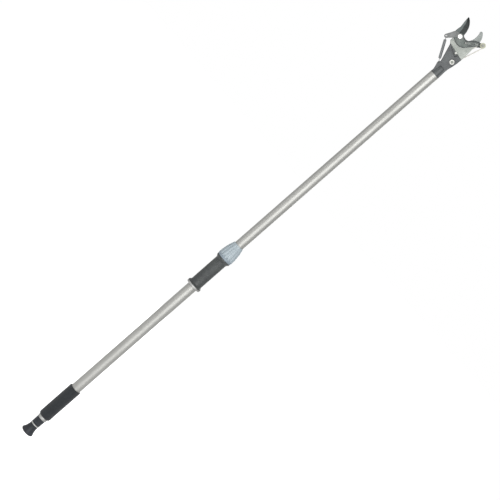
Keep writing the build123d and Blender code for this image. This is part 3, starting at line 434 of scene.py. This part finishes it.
def node_slots():
    """Which of the record's material slots each CAD node is listed under."""
    return {row["node"]: row["material_slot"] for row in frame["record"]["subparts"]}


OWN_FINISH = {                          # nodes finished apart from the rest of their slot
    "end_plug": "knob_black", "knob_ring": "bright_hardware", "end_ring": "ring_metal",
    "sleeve_ring": "ring_metal", "lever_rivet": "dull_hardware", "lever_end_rivet": "dull_hardware",
    "pulley_pin": "dull_hardware", "head_bolt": "bolt_steel_painted_shade", "index_key": "bolt_steel_painted_shade",
}


def finish_cad_nodes():
    """Gives every CAD node its slot's material, or the finish of its own."""
    for name, slot in node_slots().items():
        mesh = NODES[name].data
        mesh.materials.clear()
        mesh.materials.append(MATERIALS[OWN_FINISH.get(name, slot)])


finish_cad_nodes()

# ---------------------------------------------------------------- mesh helpers


def new_piece(name, verts, faces, finish, body, *replaced, sharp=38, ride=True):
    """A mesh in metres that stands for CAD nodes and rides on a body."""
    mesh = bpy.data.meshes.new(name)
    mesh.from_pydata([tuple(v) for v in verts], [], faces)
    mesh.validate()
    work = bmesh.new()
    work.from_mesh(mesh)
    bmesh.ops.recalc_face_normals(work, faces=work.faces)
    work.to_mesh(mesh)
    work.free()
    mesh.polygons.foreach_set("use_smooth", [True] * len(mesh.polygons))
    mesh.set_sharp_from_angle(angle=math.radians(sharp))
    mesh.materials.append(MATERIALS[finish])
    piece = bpy.data.objects.new(name, mesh)
    SCENE.collection.objects.link(piece)
    if ride:
        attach(piece, body)
    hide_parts(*replaced)
    return piece


def second_finish(piece, finish, where):
    """Gives a second finish to the faces whose middle, in metres, where() picks."""
    piece.data.materials.append(MATERIALS[finish])
    for poly in piece.data.polygons:
        if where(poly.center):
            poly.material_index = 1


def smooth_line(points, steps):
    """A Catmull-Rom line through points, with steps between each pair."""
    count = len(points)
    line = []
    for i in range(count - 1):
        a, b = points[max(i - 1, 0)], points[i]
        c, d = points[i + 1], points[min(i + 2, count - 1)]
        for k in range(steps):
            t = k / steps
            line.append(tuple(
                0.5 * (2 * q + (r - p) * t + (2 * p - 5 * q + 4 * r - s) * t * t
                       + (3 * q - p - 3 * r + s) * t ** 3)
                for p, q, r, s in zip(a, b, c, d)))
    line.append(tuple(points[-1]))
    return line


def lathe(outline, sides, shape=None):
    """Turns a closed (r, z) outline in mm about the pole's axis; shape(angle, r, z) gives a new r."""
    verts, faces = [], []
    rows = len(outline)
    for k in range(sides):
        angle = 2 * math.pi * k / sides
        for r, z in outline:
            radius = shape(angle, r, z) if shape else r
            verts.append((radius * math.cos(angle) * MM, radius * math.sin(angle) * MM, z * MM))
    for k in range(sides):
        for i in range(rows):
            a, b = k * rows + i, k * rows + (i + 1) % rows
            c, d = (b + rows) % len(verts), (a + rows) % len(verts)
            faces.append((a, b, c, d))
    return weld(verts, faces)


def weld(verts, faces):
    """Joins points that fall together, such as an outline's points on the axis."""
    digits = 7                          # to a ten-thousandth of a millimetre
    place, index = {}, []
    for v in verts:
        index.append(place.setdefault(tuple(round(c, digits) for c in v), len(place)))
    kept = []
    for face in faces:
        ring = []
        for i in face:
            if not ring or index[i] != ring[-1]:
                ring.append(index[i])
        if ring[0] == ring[-1]:
            ring.pop()
        if len(ring) > 2:
            kept.append(tuple(ring))
    return list(place), kept


def tube(path, radius, sides, shape=None):
    """A closed round tube along points in metres; shape(angle, length) multiplies the radius."""
    path = [Vector(p) for p in path]
    verts, faces = [], []
    heading = (path[1] - path[0]).normalized()
    side = heading.orthogonal().normalized()
    run = 0.0
    for i, point in enumerate(path):
        ahead = path[min(i + 1, len(path) - 1)] - path[max(i - 1, 0)]
        ahead.normalize()
        side = (side - ahead * side.dot(ahead)).normalized()
        across = ahead.cross(side)
        if i:
            run += (point - path[i - 1]).length
        for k in range(sides):
            angle = 2 * math.pi * k / sides
            r = radius * (shape(angle, run) if shape else 1.0)
            verts.append(point + r * (math.cos(angle) * side + math.sin(angle) * across))
    rows = len(path)
    for i in range(rows - 1):
        for k in range(sides):
            a, b = i * sides + k, i * sides + (k + 1) % sides
            faces.append((a, b, b + sides, a + sides))
    faces.append(tuple(range(sides)))
    faces.append(tuple(range((rows - 1) * sides, rows * sides)))
    return verts, faces


def even_path(points, step):
    """Points at an even step along a line of points in metres."""
    points = [Vector(p) for p in points]
    path, carry = [points[0]], 0.0
    for a, b in zip(points, points[1:]):
        length = (b - a).length
        spot = step - carry
        while spot < length:
            path.append(a.lerp(b, spot / length))
            spot += step
        carry = length - (spot - step)
    if (path[-1] - points[-1]).length > step * 0.3:
        path.append(points[-1])
    return path


# ---------------------------------------------------------------- plates from the CAD's outlines


FACE_FIT = 2e-5                        # m: how far off its plane a flat face's points may lie


def pairs(ring):
    """Each item of a closed ring with the one after it."""
    return zip(ring, ring[1:] + ring[:1])


def flat_loops(node, y):
    """The closed outlines, as (x, z) in metres, of a CAD node's flat face at y in mm."""
    mesh = NODES[node].data
    edges = set()
    for poly in mesh.polygons:
        points = [mesh.vertices[i].co for i in poly.vertices]
        if max(abs(p.y - y * MM) for p in points) <= FACE_FIT:
            for a, b in pairs([(round(p.x, 6), round(p.z, 6)) for p in points]):
                edges.add((a, b))
    border = {a: b for a, b in edges if (b, a) not in edges}
    loops = []
    while border:
        start, point = border.popitem()
        loop = [start]
        while point != start:
            loop.append(point)
            point = border.pop(point)
        loops.append(loop)
    return sorted(loops, key=len, reverse=True)


def split_long(loop, step):
    """The loop with its long edges cut into even ones, no longer than step."""
    points = []
    for a, b in pairs(loop):
        a, b = Vector(a), Vector(b)
        count = max(1, math.ceil((b - a).length / step))
        points.extend(a.lerp(b, k / count) for k in range(count))
    return points


def as_array(spots):
    return np.array([tuple(p) for p in spots])


def distances(spots, lines):
    """How far each spot is from the nearest of the given segments."""
    spots = as_array(spots)
    best = np.full(len(spots), np.inf)
    for a, b in lines:
        a, d = np.array(a), np.array(b) - np.array(a)
        t = np.clip((spots - a) @ d / max(d @ d, 1e-18), 0, 1)
        best = np.minimum(best, np.hypot(*(spots - a - t[:, None] * d).T))
    return best


def inside(spots, loops):
    """Which spots lie inside the outer loop and outside the holes, by counting crossings."""
    spots = as_array(spots)
    odd = np.zeros(len(spots), bool)
    for loop in loops:
        for a, b in pairs(loop):
            crosses = (a[1] > spots[:, 1]) != (b[1] > spots[:, 1])
            where = a[0] + (spots[:, 1] - a[1]) * (b[0] - a[0]) / ((b[1] - a[1]) or 1e-12)
            odd ^= crosses & (spots[:, 0] < where)
    return odd


RIM_STEP = 0.7                         # mm: the longest edge along a plate's rim
ROW_GAP = 0.87                         # of the grid's step: rows as far apart as in a triangle grid
FIRST_ROW, LAST_ROW = 0.3, 0.5         # rows along the rim: a share of its radius, and mm past it
NEAREST = 0.24                         # of the rim's radius: no inner point is closer to the rim
CROWDING = 0.22                        # mm: a plate's points stand no closer than about this
CDT_FIT = 1e-9                         # m: the triangulation takes points closer than this as one
ROUND_BACK = 0.25                      # mm: the radius of a plate's rear rim


def plate_spots(loops, lines, round_front, grid, extra):
    """The (x, z) points of a plate's faces inside its rim: an even grid, and rows along the rim."""
    xs, zs = [p.x for p in loops[0]], [p.y for p in loops[0]]
    step = grid * MM
    spots = list(extra)
    row, z = 0, min(zs)
    while z < max(zs):
        x = min(xs) + (row % 2) * step / 2
        while x < max(xs):
            spots.append(Vector((x, z)))
            x += step
        row, z = row + 1, z + step * ROW_GAP
    rows = [round_front * FIRST_ROW, round_front, round_front + LAST_ROW]
    for loop in loops:
        for a, b, c in zip(loop[-1:] + loop[:-1], loop, loop[1:] + loop[:1]):
            along = (c - a).normalized()
            for reach in rows:
                for sign in (1, -1):
                    spots.append(b + sign * reach * MM * Vector((-along.y, along.x)))
    kept = inside(spots, loops) & (distances(spots, lines) > round_front * NEAREST * MM)
    crowd, chosen = set(), []
    for spot, good in zip(spots, kept):
        key = (round(spot.x / (CROWDING * MM)), round(spot.y / (CROWDING * MM)))
        if good and key not in crowd:
            crowd.add(key)
            chosen.append(spot)
    return chosen


def fill_plate(loops, spots):
    """Triangles over the rim's and the inner points: their points and their corners."""
    ring, start = [], 0
    for loop in loops:
        ring.extend((start + a, start + b) for a, b in pairs(list(range(len(loop)))))
        start += len(loop)
    rim = [p for loop in loops for p in loop]
    out = delaunay_2d_cdt(rim + spots, ring, [], 0, CDT_FIT)
    points, triangles = out[0], out[2]
    middles = [sum((points[i] for i in tri), Vector((0, 0))) / len(tri) for tri in triangles]
    return points, [tri for tri, ok in zip(triangles, inside(middles, loops)) if ok]


def rounding(depth, radius):
    """How far a face falls back at each depth inside its rim, for a rim of radius mm."""
    r = radius * MM
    near = np.clip(r - depth, 0, r)
    return r - np.sqrt(np.maximum(r * r - near * near, 0))


def plate(name, node, back, front, finish, body, round_front=0.4, grid=1.5,
          drop=None, extra=(), other_finish=None, other_where=None):
    """A sheet part with the CAD node's outline, y from back to front in mm, and rounded rims.

    drop(spots) gives how far the front face falls back, in metres, at each (x, z) spot.
    extra holds further points for the faces, and other_where(x, h) picks the faces, by
    their middles in the head's mm, of a second finish.
    """
    loops = [split_long(loop, RIM_STEP * MM) for loop in flat_loops(node, front)]
    lines = [pair for loop in loops for pair in pairs(loop)]
    points, triangles = fill_plate(loops, plate_spots(loops, lines, round_front, grid, extra))
    depth = distances(points, lines)
    fall = rounding(depth, round_front)
    if drop:
        fall = np.maximum(fall, drop(points))
    verts = [(p.x, front * MM + f, p.y) for p, f in zip(points, fall)]
    verts += [(p.x, back * MM - f, p.y) for p, f in zip(points, rounding(depth, ROUND_BACK))]
    shift = len(points)
    faces = [tuple(t) for t in triangles] + [tuple(i + shift for i in reversed(t)) for t in triangles]
    sides = dict.fromkeys(side for tri in triangles for side in pairs(list(tri)))
    faces += [(b, a, a + shift, b + shift) for a, b in sides if (b, a) not in sides]
    piece = new_piece(name, verts, faces, finish, body, node)
    edge = piece.data.attributes.new("from_edge", "FLOAT", "POINT")
    edge.data.foreach_set("value", np.tile(depth, 2).astype(np.float32))
    if other_finish:
        second_finish(piece, other_finish, lambda spot: other_where(spot.x / MM, spot.z / MM - HEAD_H))


# ---------------------------------------------------------------- pole pieces


def build_foam():
    """The foam grip: a soft tube with eased ends, very slightly uneven from its cutting."""
    low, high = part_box("foam_grip")
    z0, z1 = low.z / MM, high.z / MM
    outer, bore = high.x / MM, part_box("lower_tube")[1].x / MM + FIT
    skin = outer - 0.05                 # room for rounding, so the foam stays inside its box
    foot_ease, top_ease, rows = 4.0, 1.2, 46
    wall = [(bore, z0 + 0.3), (bore + 0.6, z0), (outer - 3.2, z0),
            (outer - 1.0, z0 + 1.2), (skin, z0 + foot_ease)]
    for k in range(1, rows):
        wall.append((skin, z0 + foot_ease + (z1 - (foot_ease + top_ease) - z0) * k / rows))
    wall += [(skin, z1 - top_ease), (outer - 0.8, z1 - 0.2), (outer - 1.5, z1),
             (bore + 0.5, z1), (bore, z1 - 0.4)]
    waves_round, waves_along = 1.3, 0.045
    broad, fine = 0.22, 0.05            # how deep the broad waves and the fine ones go

    def uneven(angle, r, z):
        if r < bore + 1:
            return r
        spot = Vector((math.cos(angle) * waves_round, math.sin(angle) * waves_round, z * waves_along))
        return r - broad * (noise.noise(spot) + 1) / 2 - fine * (noise.noise(spot * 6.0) + 1) / 2

    verts, faces = lathe(wall, 96, uneven)
    piece = new_piece("foam_sleeve", verts, faces, "black_foam", "lower_pole", "foam_grip", sharp=60)


def build_knob():
    """The pull knob, with a dished end, a mould line and the recess that holds the knot."""
    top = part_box("pull_knob")[1].z / MM
    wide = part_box("pull_knob")[1].x / MM
    neck, recess_r, recess_floor = 11.9, 5.0, top - 16.0
    curve = smooth_line([
        (10.0, 0.0), (13.6, 0.3), (16.0, 1.5), (wide - 0.3, 3.2), (wide, 5.0), (wide - 0.8, 7.4),
        (15.4, 10.4), (13.8, 14.2), (12.8, 19.0), (12.1, 24.0), (neck, top - 2.0),
        (neck, top - 0.6), (neck - 0.5, top)], 5)
    outline = [(0, 0.9), (6.0, 0.75), (8.6, 0.3)] + curve + [
        (recess_r + 1.0, top), (recess_r, top), (recess_r, recess_floor + 0.4),
        (recess_r - 0.6, recess_floor), (0, recess_floor)]
    seam_height, seam_half = 0.12, 0.5

    def mould_line(angle, r, z):
        if r <= 10 or z >= top - 0.4:
            return r
        away = abs(math.sin(angle)) * r
        return r + seam_height * max(0.0, 1 - away / seam_half)

    verts, faces = lathe(outline, 128, mould_line)
    new_piece("knob", verts, faces, "knob_black", "pull_knob", "pull_knob")


def build_sleeve():
    """The lock's dark grip sleeve: eased flanges and shallow lengthwise grooves on its waist."""
    low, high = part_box("sleeve_grip")
    z0, z1 = low.z / MM, high.z / MM
    lock_wall = 1.2
    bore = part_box("lower_tube")[1].x / MM + FIT + lock_wall + FIT
    waist, flange = 17.1, 21.2
    waist_foot, waist_top, rows = z0 + 8.8, z1 - 11.2, 60
    wall = smooth_line([
        (21.3, z0 + 0.7), (flange, z0 + 1.6), (19.9, z0 + 3.1), (18.1, z0 + 4.9), (17.3, z0 + 6.8),
        (waist, waist_foot)], 5)
    wall += [(waist, waist_foot + (waist_top - waist_foot) * k / rows) for k in range(1, rows)]
    wall += smooth_line([
        (waist, waist_top), (17.35, z1 - 9.4), (18.6, z1 - 7.2), (20.3, z1 - 5.0), (21.1, z1 - 3.4),
        (flange, z1 - 2.2), (flange, z1 - 0.5), (20.8, z1)], 4)
    outline = [(bore, z0), (20.6, z0), (21.1, z0 + 0.3)] + wall + [(bore, z1)]
    grooves, depth, run_out = 36, 0.28, 5.0
    groove_foot, groove_top = z0 + 13.0, z1 - 13.5

    def grooved(angle, r, z):
        share = min(max((z - groove_foot) / run_out, 0.0), 1.0)
        share *= min(max((groove_top - z) / run_out, 0.0), 1.0)
        if r < waist - 0.6 or share <= 0:
            return r
        return r - depth * share * max(0.0, math.cos(grooves * angle)) ** 3

    verts, faces = lathe(outline, grooves * 8, grooved)
    new_piece("lock_sleeve", verts, faces, "black_plastic", "lower_pole", "sleeve_grip")


def build_collar():
    """The twist collar: a plain band, then broad scalloped flutes up to its domed top."""
    low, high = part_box("lock_collar")
    z0, z1 = low.z / MM, high.z / MM
    wide = high.x / MM
    band_top = z0 + 6.6
    mouth, rim, chamber, seat = 13.4, 13.6, 15.6, 17.6      # radii inside, from the top down
    line = smooth_line([
        (21.7, z0 + 0.5), (22.0, z0 + 2.0), (22.2, z0 + 4.5), (wide, z0 + 7.0), (22.4, z0 + 12.0),
        (21.6, z0 + 20.0), (20.4, z0 + 28.0), (18.7, z0 + 36.5), (17.0, z0 + 42.2),
        (15.6, z0 + 47.0), (14.8, z1 - 0.8)], 9)
    outline = [(seat, z0), (21.4, z0)] + line + [
        (14.4, z1), (rim, z1), (mouth, z1 - 0.5), (mouth, z0 + 41.5), (14.3, z0 + 40.8),
        (chamber, z0 + 24.6), (chamber, z0 + 23.0), (seat, z0 + 22.2)]
    flutes, flute_depth = 14, 1.15
    pocket_depth, pocket_reach = 2.2, 4.6       # a deeper pocket at each flute's foot

    def fluted(angle, r, z):
        if r < rim or (r < seat + 0.1 and z < z0 + 25) or z < band_top:
            return r
        height = (z - band_top) / (z1 - band_top)
        fade = min(1.0, (1 - height) * 4.5)
        rise = min(1.0, z - band_top)
        wave = 0.5 + 0.5 * math.cos(flutes * angle)
        pocket = max(0.0, 1 - (z - band_top) / pocket_reach) ** 0.5 * pocket_depth
        return r - rise * (wave ** 1.5 * flute_depth * fade + wave ** 3 * pocket)

    verts, faces = lathe(outline, flutes * 18, fluted)
    piece = new_piece("collar", verts, faces, "blue_grey_plastic", "collar", "lock_collar", sharp=34)
    # the band takes the darker plastic of painted shade
    second_finish(piece, "band_plastic_painted_shade", lambda spot: spot.z < (band_top - 0.4) * MM)


# ---------------------------------------------------------------- cords

CORD_MM = 1.25                         # the cord's radius
CORD_R = CORD_MM * MM
BRAID_LAY = 7.5 * MM                   # along the cord, for one turn of the braid
BRAID_RELIEF = 0.08


def cord_twill(angle, run):
    """The relief of a round braid: two sets of strands that wind opposite ways."""
    strands, turn = 4, 2 * math.pi / BRAID_LAY
    one = math.cos(strands * (angle + turn * run / strands * 2))
    two = math.cos(strands * (angle - turn * run / strands * 2))
    return 1.0 - BRAID_RELIEF * (1 - max(one, two))


def pole_cord(name, node, body):
    """A straight run of the cord in the pole; it draws back to its held end as the pole slides in."""
    low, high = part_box(node)
    length = high.z - low.z
    count = int(length / (0.9 * MM))
    path = [(0, 0, low.z + length * k / count) for k in range(count + 1)]
    piece = new_piece(name, *tube(path, CORD_R, 16, cord_twill), "cream_cord", body, node, sharp=80)
    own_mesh(piece)


def build_pole_cords():
    """The cord in the pole: one run behind the knob, one in the upper tube, and its knot.

    The lower run keeps enough to reach into the pole when the knob is pulled as well.
    """
    pole_cord("cord_in_pole", "cord_lower", "pull_knob")
    pole_cord("cord_in_tube", "cord_upper", "upper_pole")
    low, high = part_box("cord_knot")
    middle, reach = (low + high) / 2, (high.z - low.z) / 2 - CORD_R
    loop, steps = [], 120
    for k in range(steps + 1):          # a trefoil
        t = 2 * math.pi * k / steps
        loop.append(middle + Vector((
            reach * (math.sin(t) + 2 * math.sin(2 * t)) / 3,
            reach * (math.cos(t) - 2 * math.cos(2 * t)) / 3,
            -reach * math.sin(3 * t) * 0.8)))
    new_piece("knot", *tube(loop, CORD_R * 0.95, 12, cord_twill), "cream_cord", "pull_knob",
              "cord_knot", sharp=80)


# ---------------------------------------------------------------- head pieces

# (x, h) in mm, with h from the top of the upper tube
BOLT = (5.5, 51.4)
PULLEY_PIN = (25.1, 134.0)
ANCHOR = (12.6, 63.5)
SPRING_EYE = (-52.0, 82.8)
SPRING_FOOT = (-16.6, 27.3)
SPRING_Y = -11.5


def head_spot(x, h, y=0.0):
    """A point of the head, from (x, h) in mm and its depth y in mm."""
    return Vector((x * MM, y * MM, (HEAD_H + h) * MM))


def flat_spot(x, h):
    """A point of the head's plane as (x, z) in metres, from (x, h) in mm."""
    return Vector((x * MM, (HEAD_H + h) * MM))


def arc(centre, radius, start, end, steps):
    """Points in mm on an arc from start to end in degrees."""
    turns = [math.radians(start + (end - start) * k / steps) for k in range(steps + 1)]
    return [(centre[0] + radius * math.cos(t), centre[1] + radius * math.sin(t)) for t in turns]


def bearing(a, b):
    """The direction from a to b in degrees, and the way between them."""
    return math.degrees(math.atan2(b[1] - a[1], b[0] - a[0])), math.hypot(b[0] - a[0], b[1] - a[1])


def build_head_cord():
    """The cord from the pole round the guide pulley, up round the lever's pulley and back to its pin."""
    guide, arm = 5.5, 5.2               # radii in mm that the cord's middle follows
    pin = 1.6 + FIT + CORD_MM
    pole_end = (0, 44.0)
    run, length = bearing(BOLT, PULLEY_PIN)
    run += math.degrees(math.asin((arm - guide) / length))
    back, length = bearing(PULLEY_PIN, ANCHOR)
    turn = back - math.degrees(math.asin(arm / length))
    flat = [pole_end]
    flat += arc(BOLT, guide, 180, run + 90, 6)
    flat += arc(PULLEY_PIN, arm, run + 90, turn + 90, 24)
    flat += arc(ANCHOR, pin, back + 180, back - 120, 16)
    path = even_path([head_spot(*p) for p in flat], 0.5 * MM)
    piece = new_piece("head_cord_braid", *tube(path, CORD_R, 20, cord_twill), "cream_cord", "",
                      "head_cord", sharp=80, ride=False)
    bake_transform(piece)


def build_spring():
    """The return spring's wire: foot hook, close coil and the hook in the arm's eye, as one helix."""
    foot, eye = head_spot(*SPRING_FOOT, SPRING_Y), head_spot(*SPRING_EYE, SPRING_Y)
    axis = (eye - foot).normalized()
    across = Vector((0, 1, 0))
    other = axis.cross(across)
    wire_r, coil_r, start, end, pitch = 0.8 * MM, 2.98 * MM, 9.0 * MM, 57.2 * MM, 1.66 * MM
    turns, steps = round((end - start) / pitch), 18
    run_in = 0.7                        # turns in which the coil opens from its axis, at both ends
    line = [foot + Vector((0, 3.6 * MM, 0)), foot + Vector((0, 1.2 * MM, 0)),
            foot + axis * 0.9 * MM - across * 0.1 * MM, foot + axis * 3.2 * MM]
    for k in range(turns * steps + 1):
        angle = 2 * math.pi * k / steps
        ease = min(1.0, k / steps / run_in, (turns * steps - k) / steps / run_in)
        r = coil_r * ease ** 0.5
        spot = foot + axis * (start + (end - start) * k / (turns * steps))
        line.append(spot + r * (math.cos(angle) * other + math.sin(angle) * across))
    reach = (eye - foot).length
    line += [foot + axis * (reach - 4.4 * MM), foot + axis * (reach - 1.6 * MM) + across * 0.1 * MM,
             eye + Vector((0, -1.2 * MM, 0)), eye + Vector((0, -3.4 * MM, 0))]
    piece = new_piece("spring_wire", *tube(line, wire_r, 10), "spring_steel", "", "return_spring",
                      "spring_end_hook", sharp=60, ride=False)
    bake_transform(piece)


def cutting_line():
    """The blade's cutting edge in (x, z) metres, from its tip to its heel."""
    flat = smooth_line([
        (-50.3, 154.0), (-45.2, 151.6), (-39.6, 147.8),
        (-32.2, 139.4), (-26.9, 128.0), (-24.5, 114.1)], 10)
    return [flat_spot(x, h) for x, h in flat]


def build_blade():
    """The blade: ground back from its cutting edge over a bevel that narrows to the tip."""
    edge = cutting_line()
    lines = list(zip(edge, edge[1:]))
    tip_width, full_width, widening = 2.5 * MM, 12.6 * MM, 0.42
    ground_depth = 2.45 * MM

    def bevel_width(spots):
        away = np.hypot(*(as_array(spots) - np.array(edge[0])).T)
        return np.clip(tip_width + away * widening, 0, full_width)

    def ground(spots):
        return np.clip(1 - distances(spots, lines) / bevel_width(spots), 0, 1) * ground_depth

    def on_bevel(x, h):
        spot = [flat_spot(x, h)]
        return distances(spot, lines)[0] < bevel_width(spot)[0]

    ridge = []                          # points where the bevel ends, so that it ends in a clean line
    for a, b in lines:
        normal = Vector((-(b - a).y, (b - a).x)).normalized()
        for t in (0.0, 0.5):
            spot = a.lerp(b, t)
            width = float(bevel_width([spot])[0])
            for sign in (1, -1):
                ridge.append(spot + sign * normal * width)
    plate("blade_ground", "blade", -7.1, -10.0, "blackened_steel", "blade", round_front=0.35, grid=1.1,
          drop=ground, extra=ridge, other_finish="ground_edge", other_where=on_bevel)


# The hook's faces, which take the darker finish of painted shade.
def on_hook(x, h):
    return h > 116 and x > -13


def build_head_plates():
    """The sheet parts, each from y to y in mm."""
    plate("hook_plate", "head_plate", -3.5, -7.0, "zinc_steel", "upper_pole", round_front=0.55,
          other_finish="hook_steel_painted_shade", other_where=on_hook)
    plate("back_plate", "rear_plate", 6.5, 3.5, "zinc_steel", "upper_pole", round_front=0.3)
    plate("lever_steel", "blade_lever", -10.0, -12.5, "lever_black", "blade", round_front=0.6)
    plate("lever_stiffener", "lever_plate", -12.5, -14.0, "grey_steel", "blade", round_front=0.45,
          grid=1.0)
    plate("spring_lever", "spring_arm", -12.5, -14.5, "arm_grey", "blade", round_front=0.5)
    plate("rear_lever", "rear_link", 12.4, 10.0, "lever_black", "blade", round_front=0.4)


JOINED = 1e-6                          # m: CAD points closer than this are one


def build_socket():
    """The moulded head socket: the CAD's form with every edge eased."""
    mesh = NODES["head_socket"].data.copy()
    work = bmesh.new()
    work.from_mesh(mesh)
    bmesh.ops.remove_doubles(work, verts=work.verts, dist=JOINED)
    work.to_mesh(mesh)
    work.free()
    piece = bpy.data.objects.new("socket", mesh)
    SCENE.collection.objects.link(piece)
    remesh = piece.modifiers.new("skin", "REMESH")
    remesh.mode = "VOXEL"
    remesh.voxel_size = 0.5 * MM
    ease = piece.modifiers.new("ease", "SMOOTH")
    ease.factor = 0.5
    ease.iterations = 4
    graph = bpy.context.evaluated_depsgraph_get()
    made = bpy.data.meshes.new_from_object(piece.evaluated_get(graph))
    bpy.data.objects.remove(piece)
    verts = [v.co.copy() for v in made.vertices]
    faces = [tuple(p.vertices) for p in made.polygons]
    bpy.data.meshes.remove(made)
    new_piece("socket_moulding", verts, faces, "socket_plastic", "upper_pole", "head_socket", sharp=75)


EASED_NODES = {                         # how wide each one's edges are eased, in mm
    "index_key": 0.25, "head_bolt": 0.25, "head_nut": 0.3, "pivot_bolt": 0.2, "pivot_nut": 0.3,
    "lever_rivet": 0.15, "corner_rivet": 0.3, "pulley_pin": 0.2, "knob_ring": 0.2, "end_ring": 0.3,
}


def ease_cad_edges():
    """Rounds the edges of the small CAD parts that are shown as they are."""
    for node, width in EASED_NODES.items():
        part = NODES[node]
        join = part.modifiers.new("join", "WELD")
        join.merge_threshold = JOINED
        ease = part.modifiers.new("ease", "BEVEL")
        ease.width = width * MM
        ease.segments = 2
        ease.limit_method = "ANGLE"
        ease.angle_limit = math.radians(35)
        ease.harden_normals = False


build_foam()
build_knob()
build_sleeve()
build_collar()
build_pole_cords()
build_head_cord()
build_spring()
build_blade()
build_head_plates()
build_socket()
ease_cad_edges()
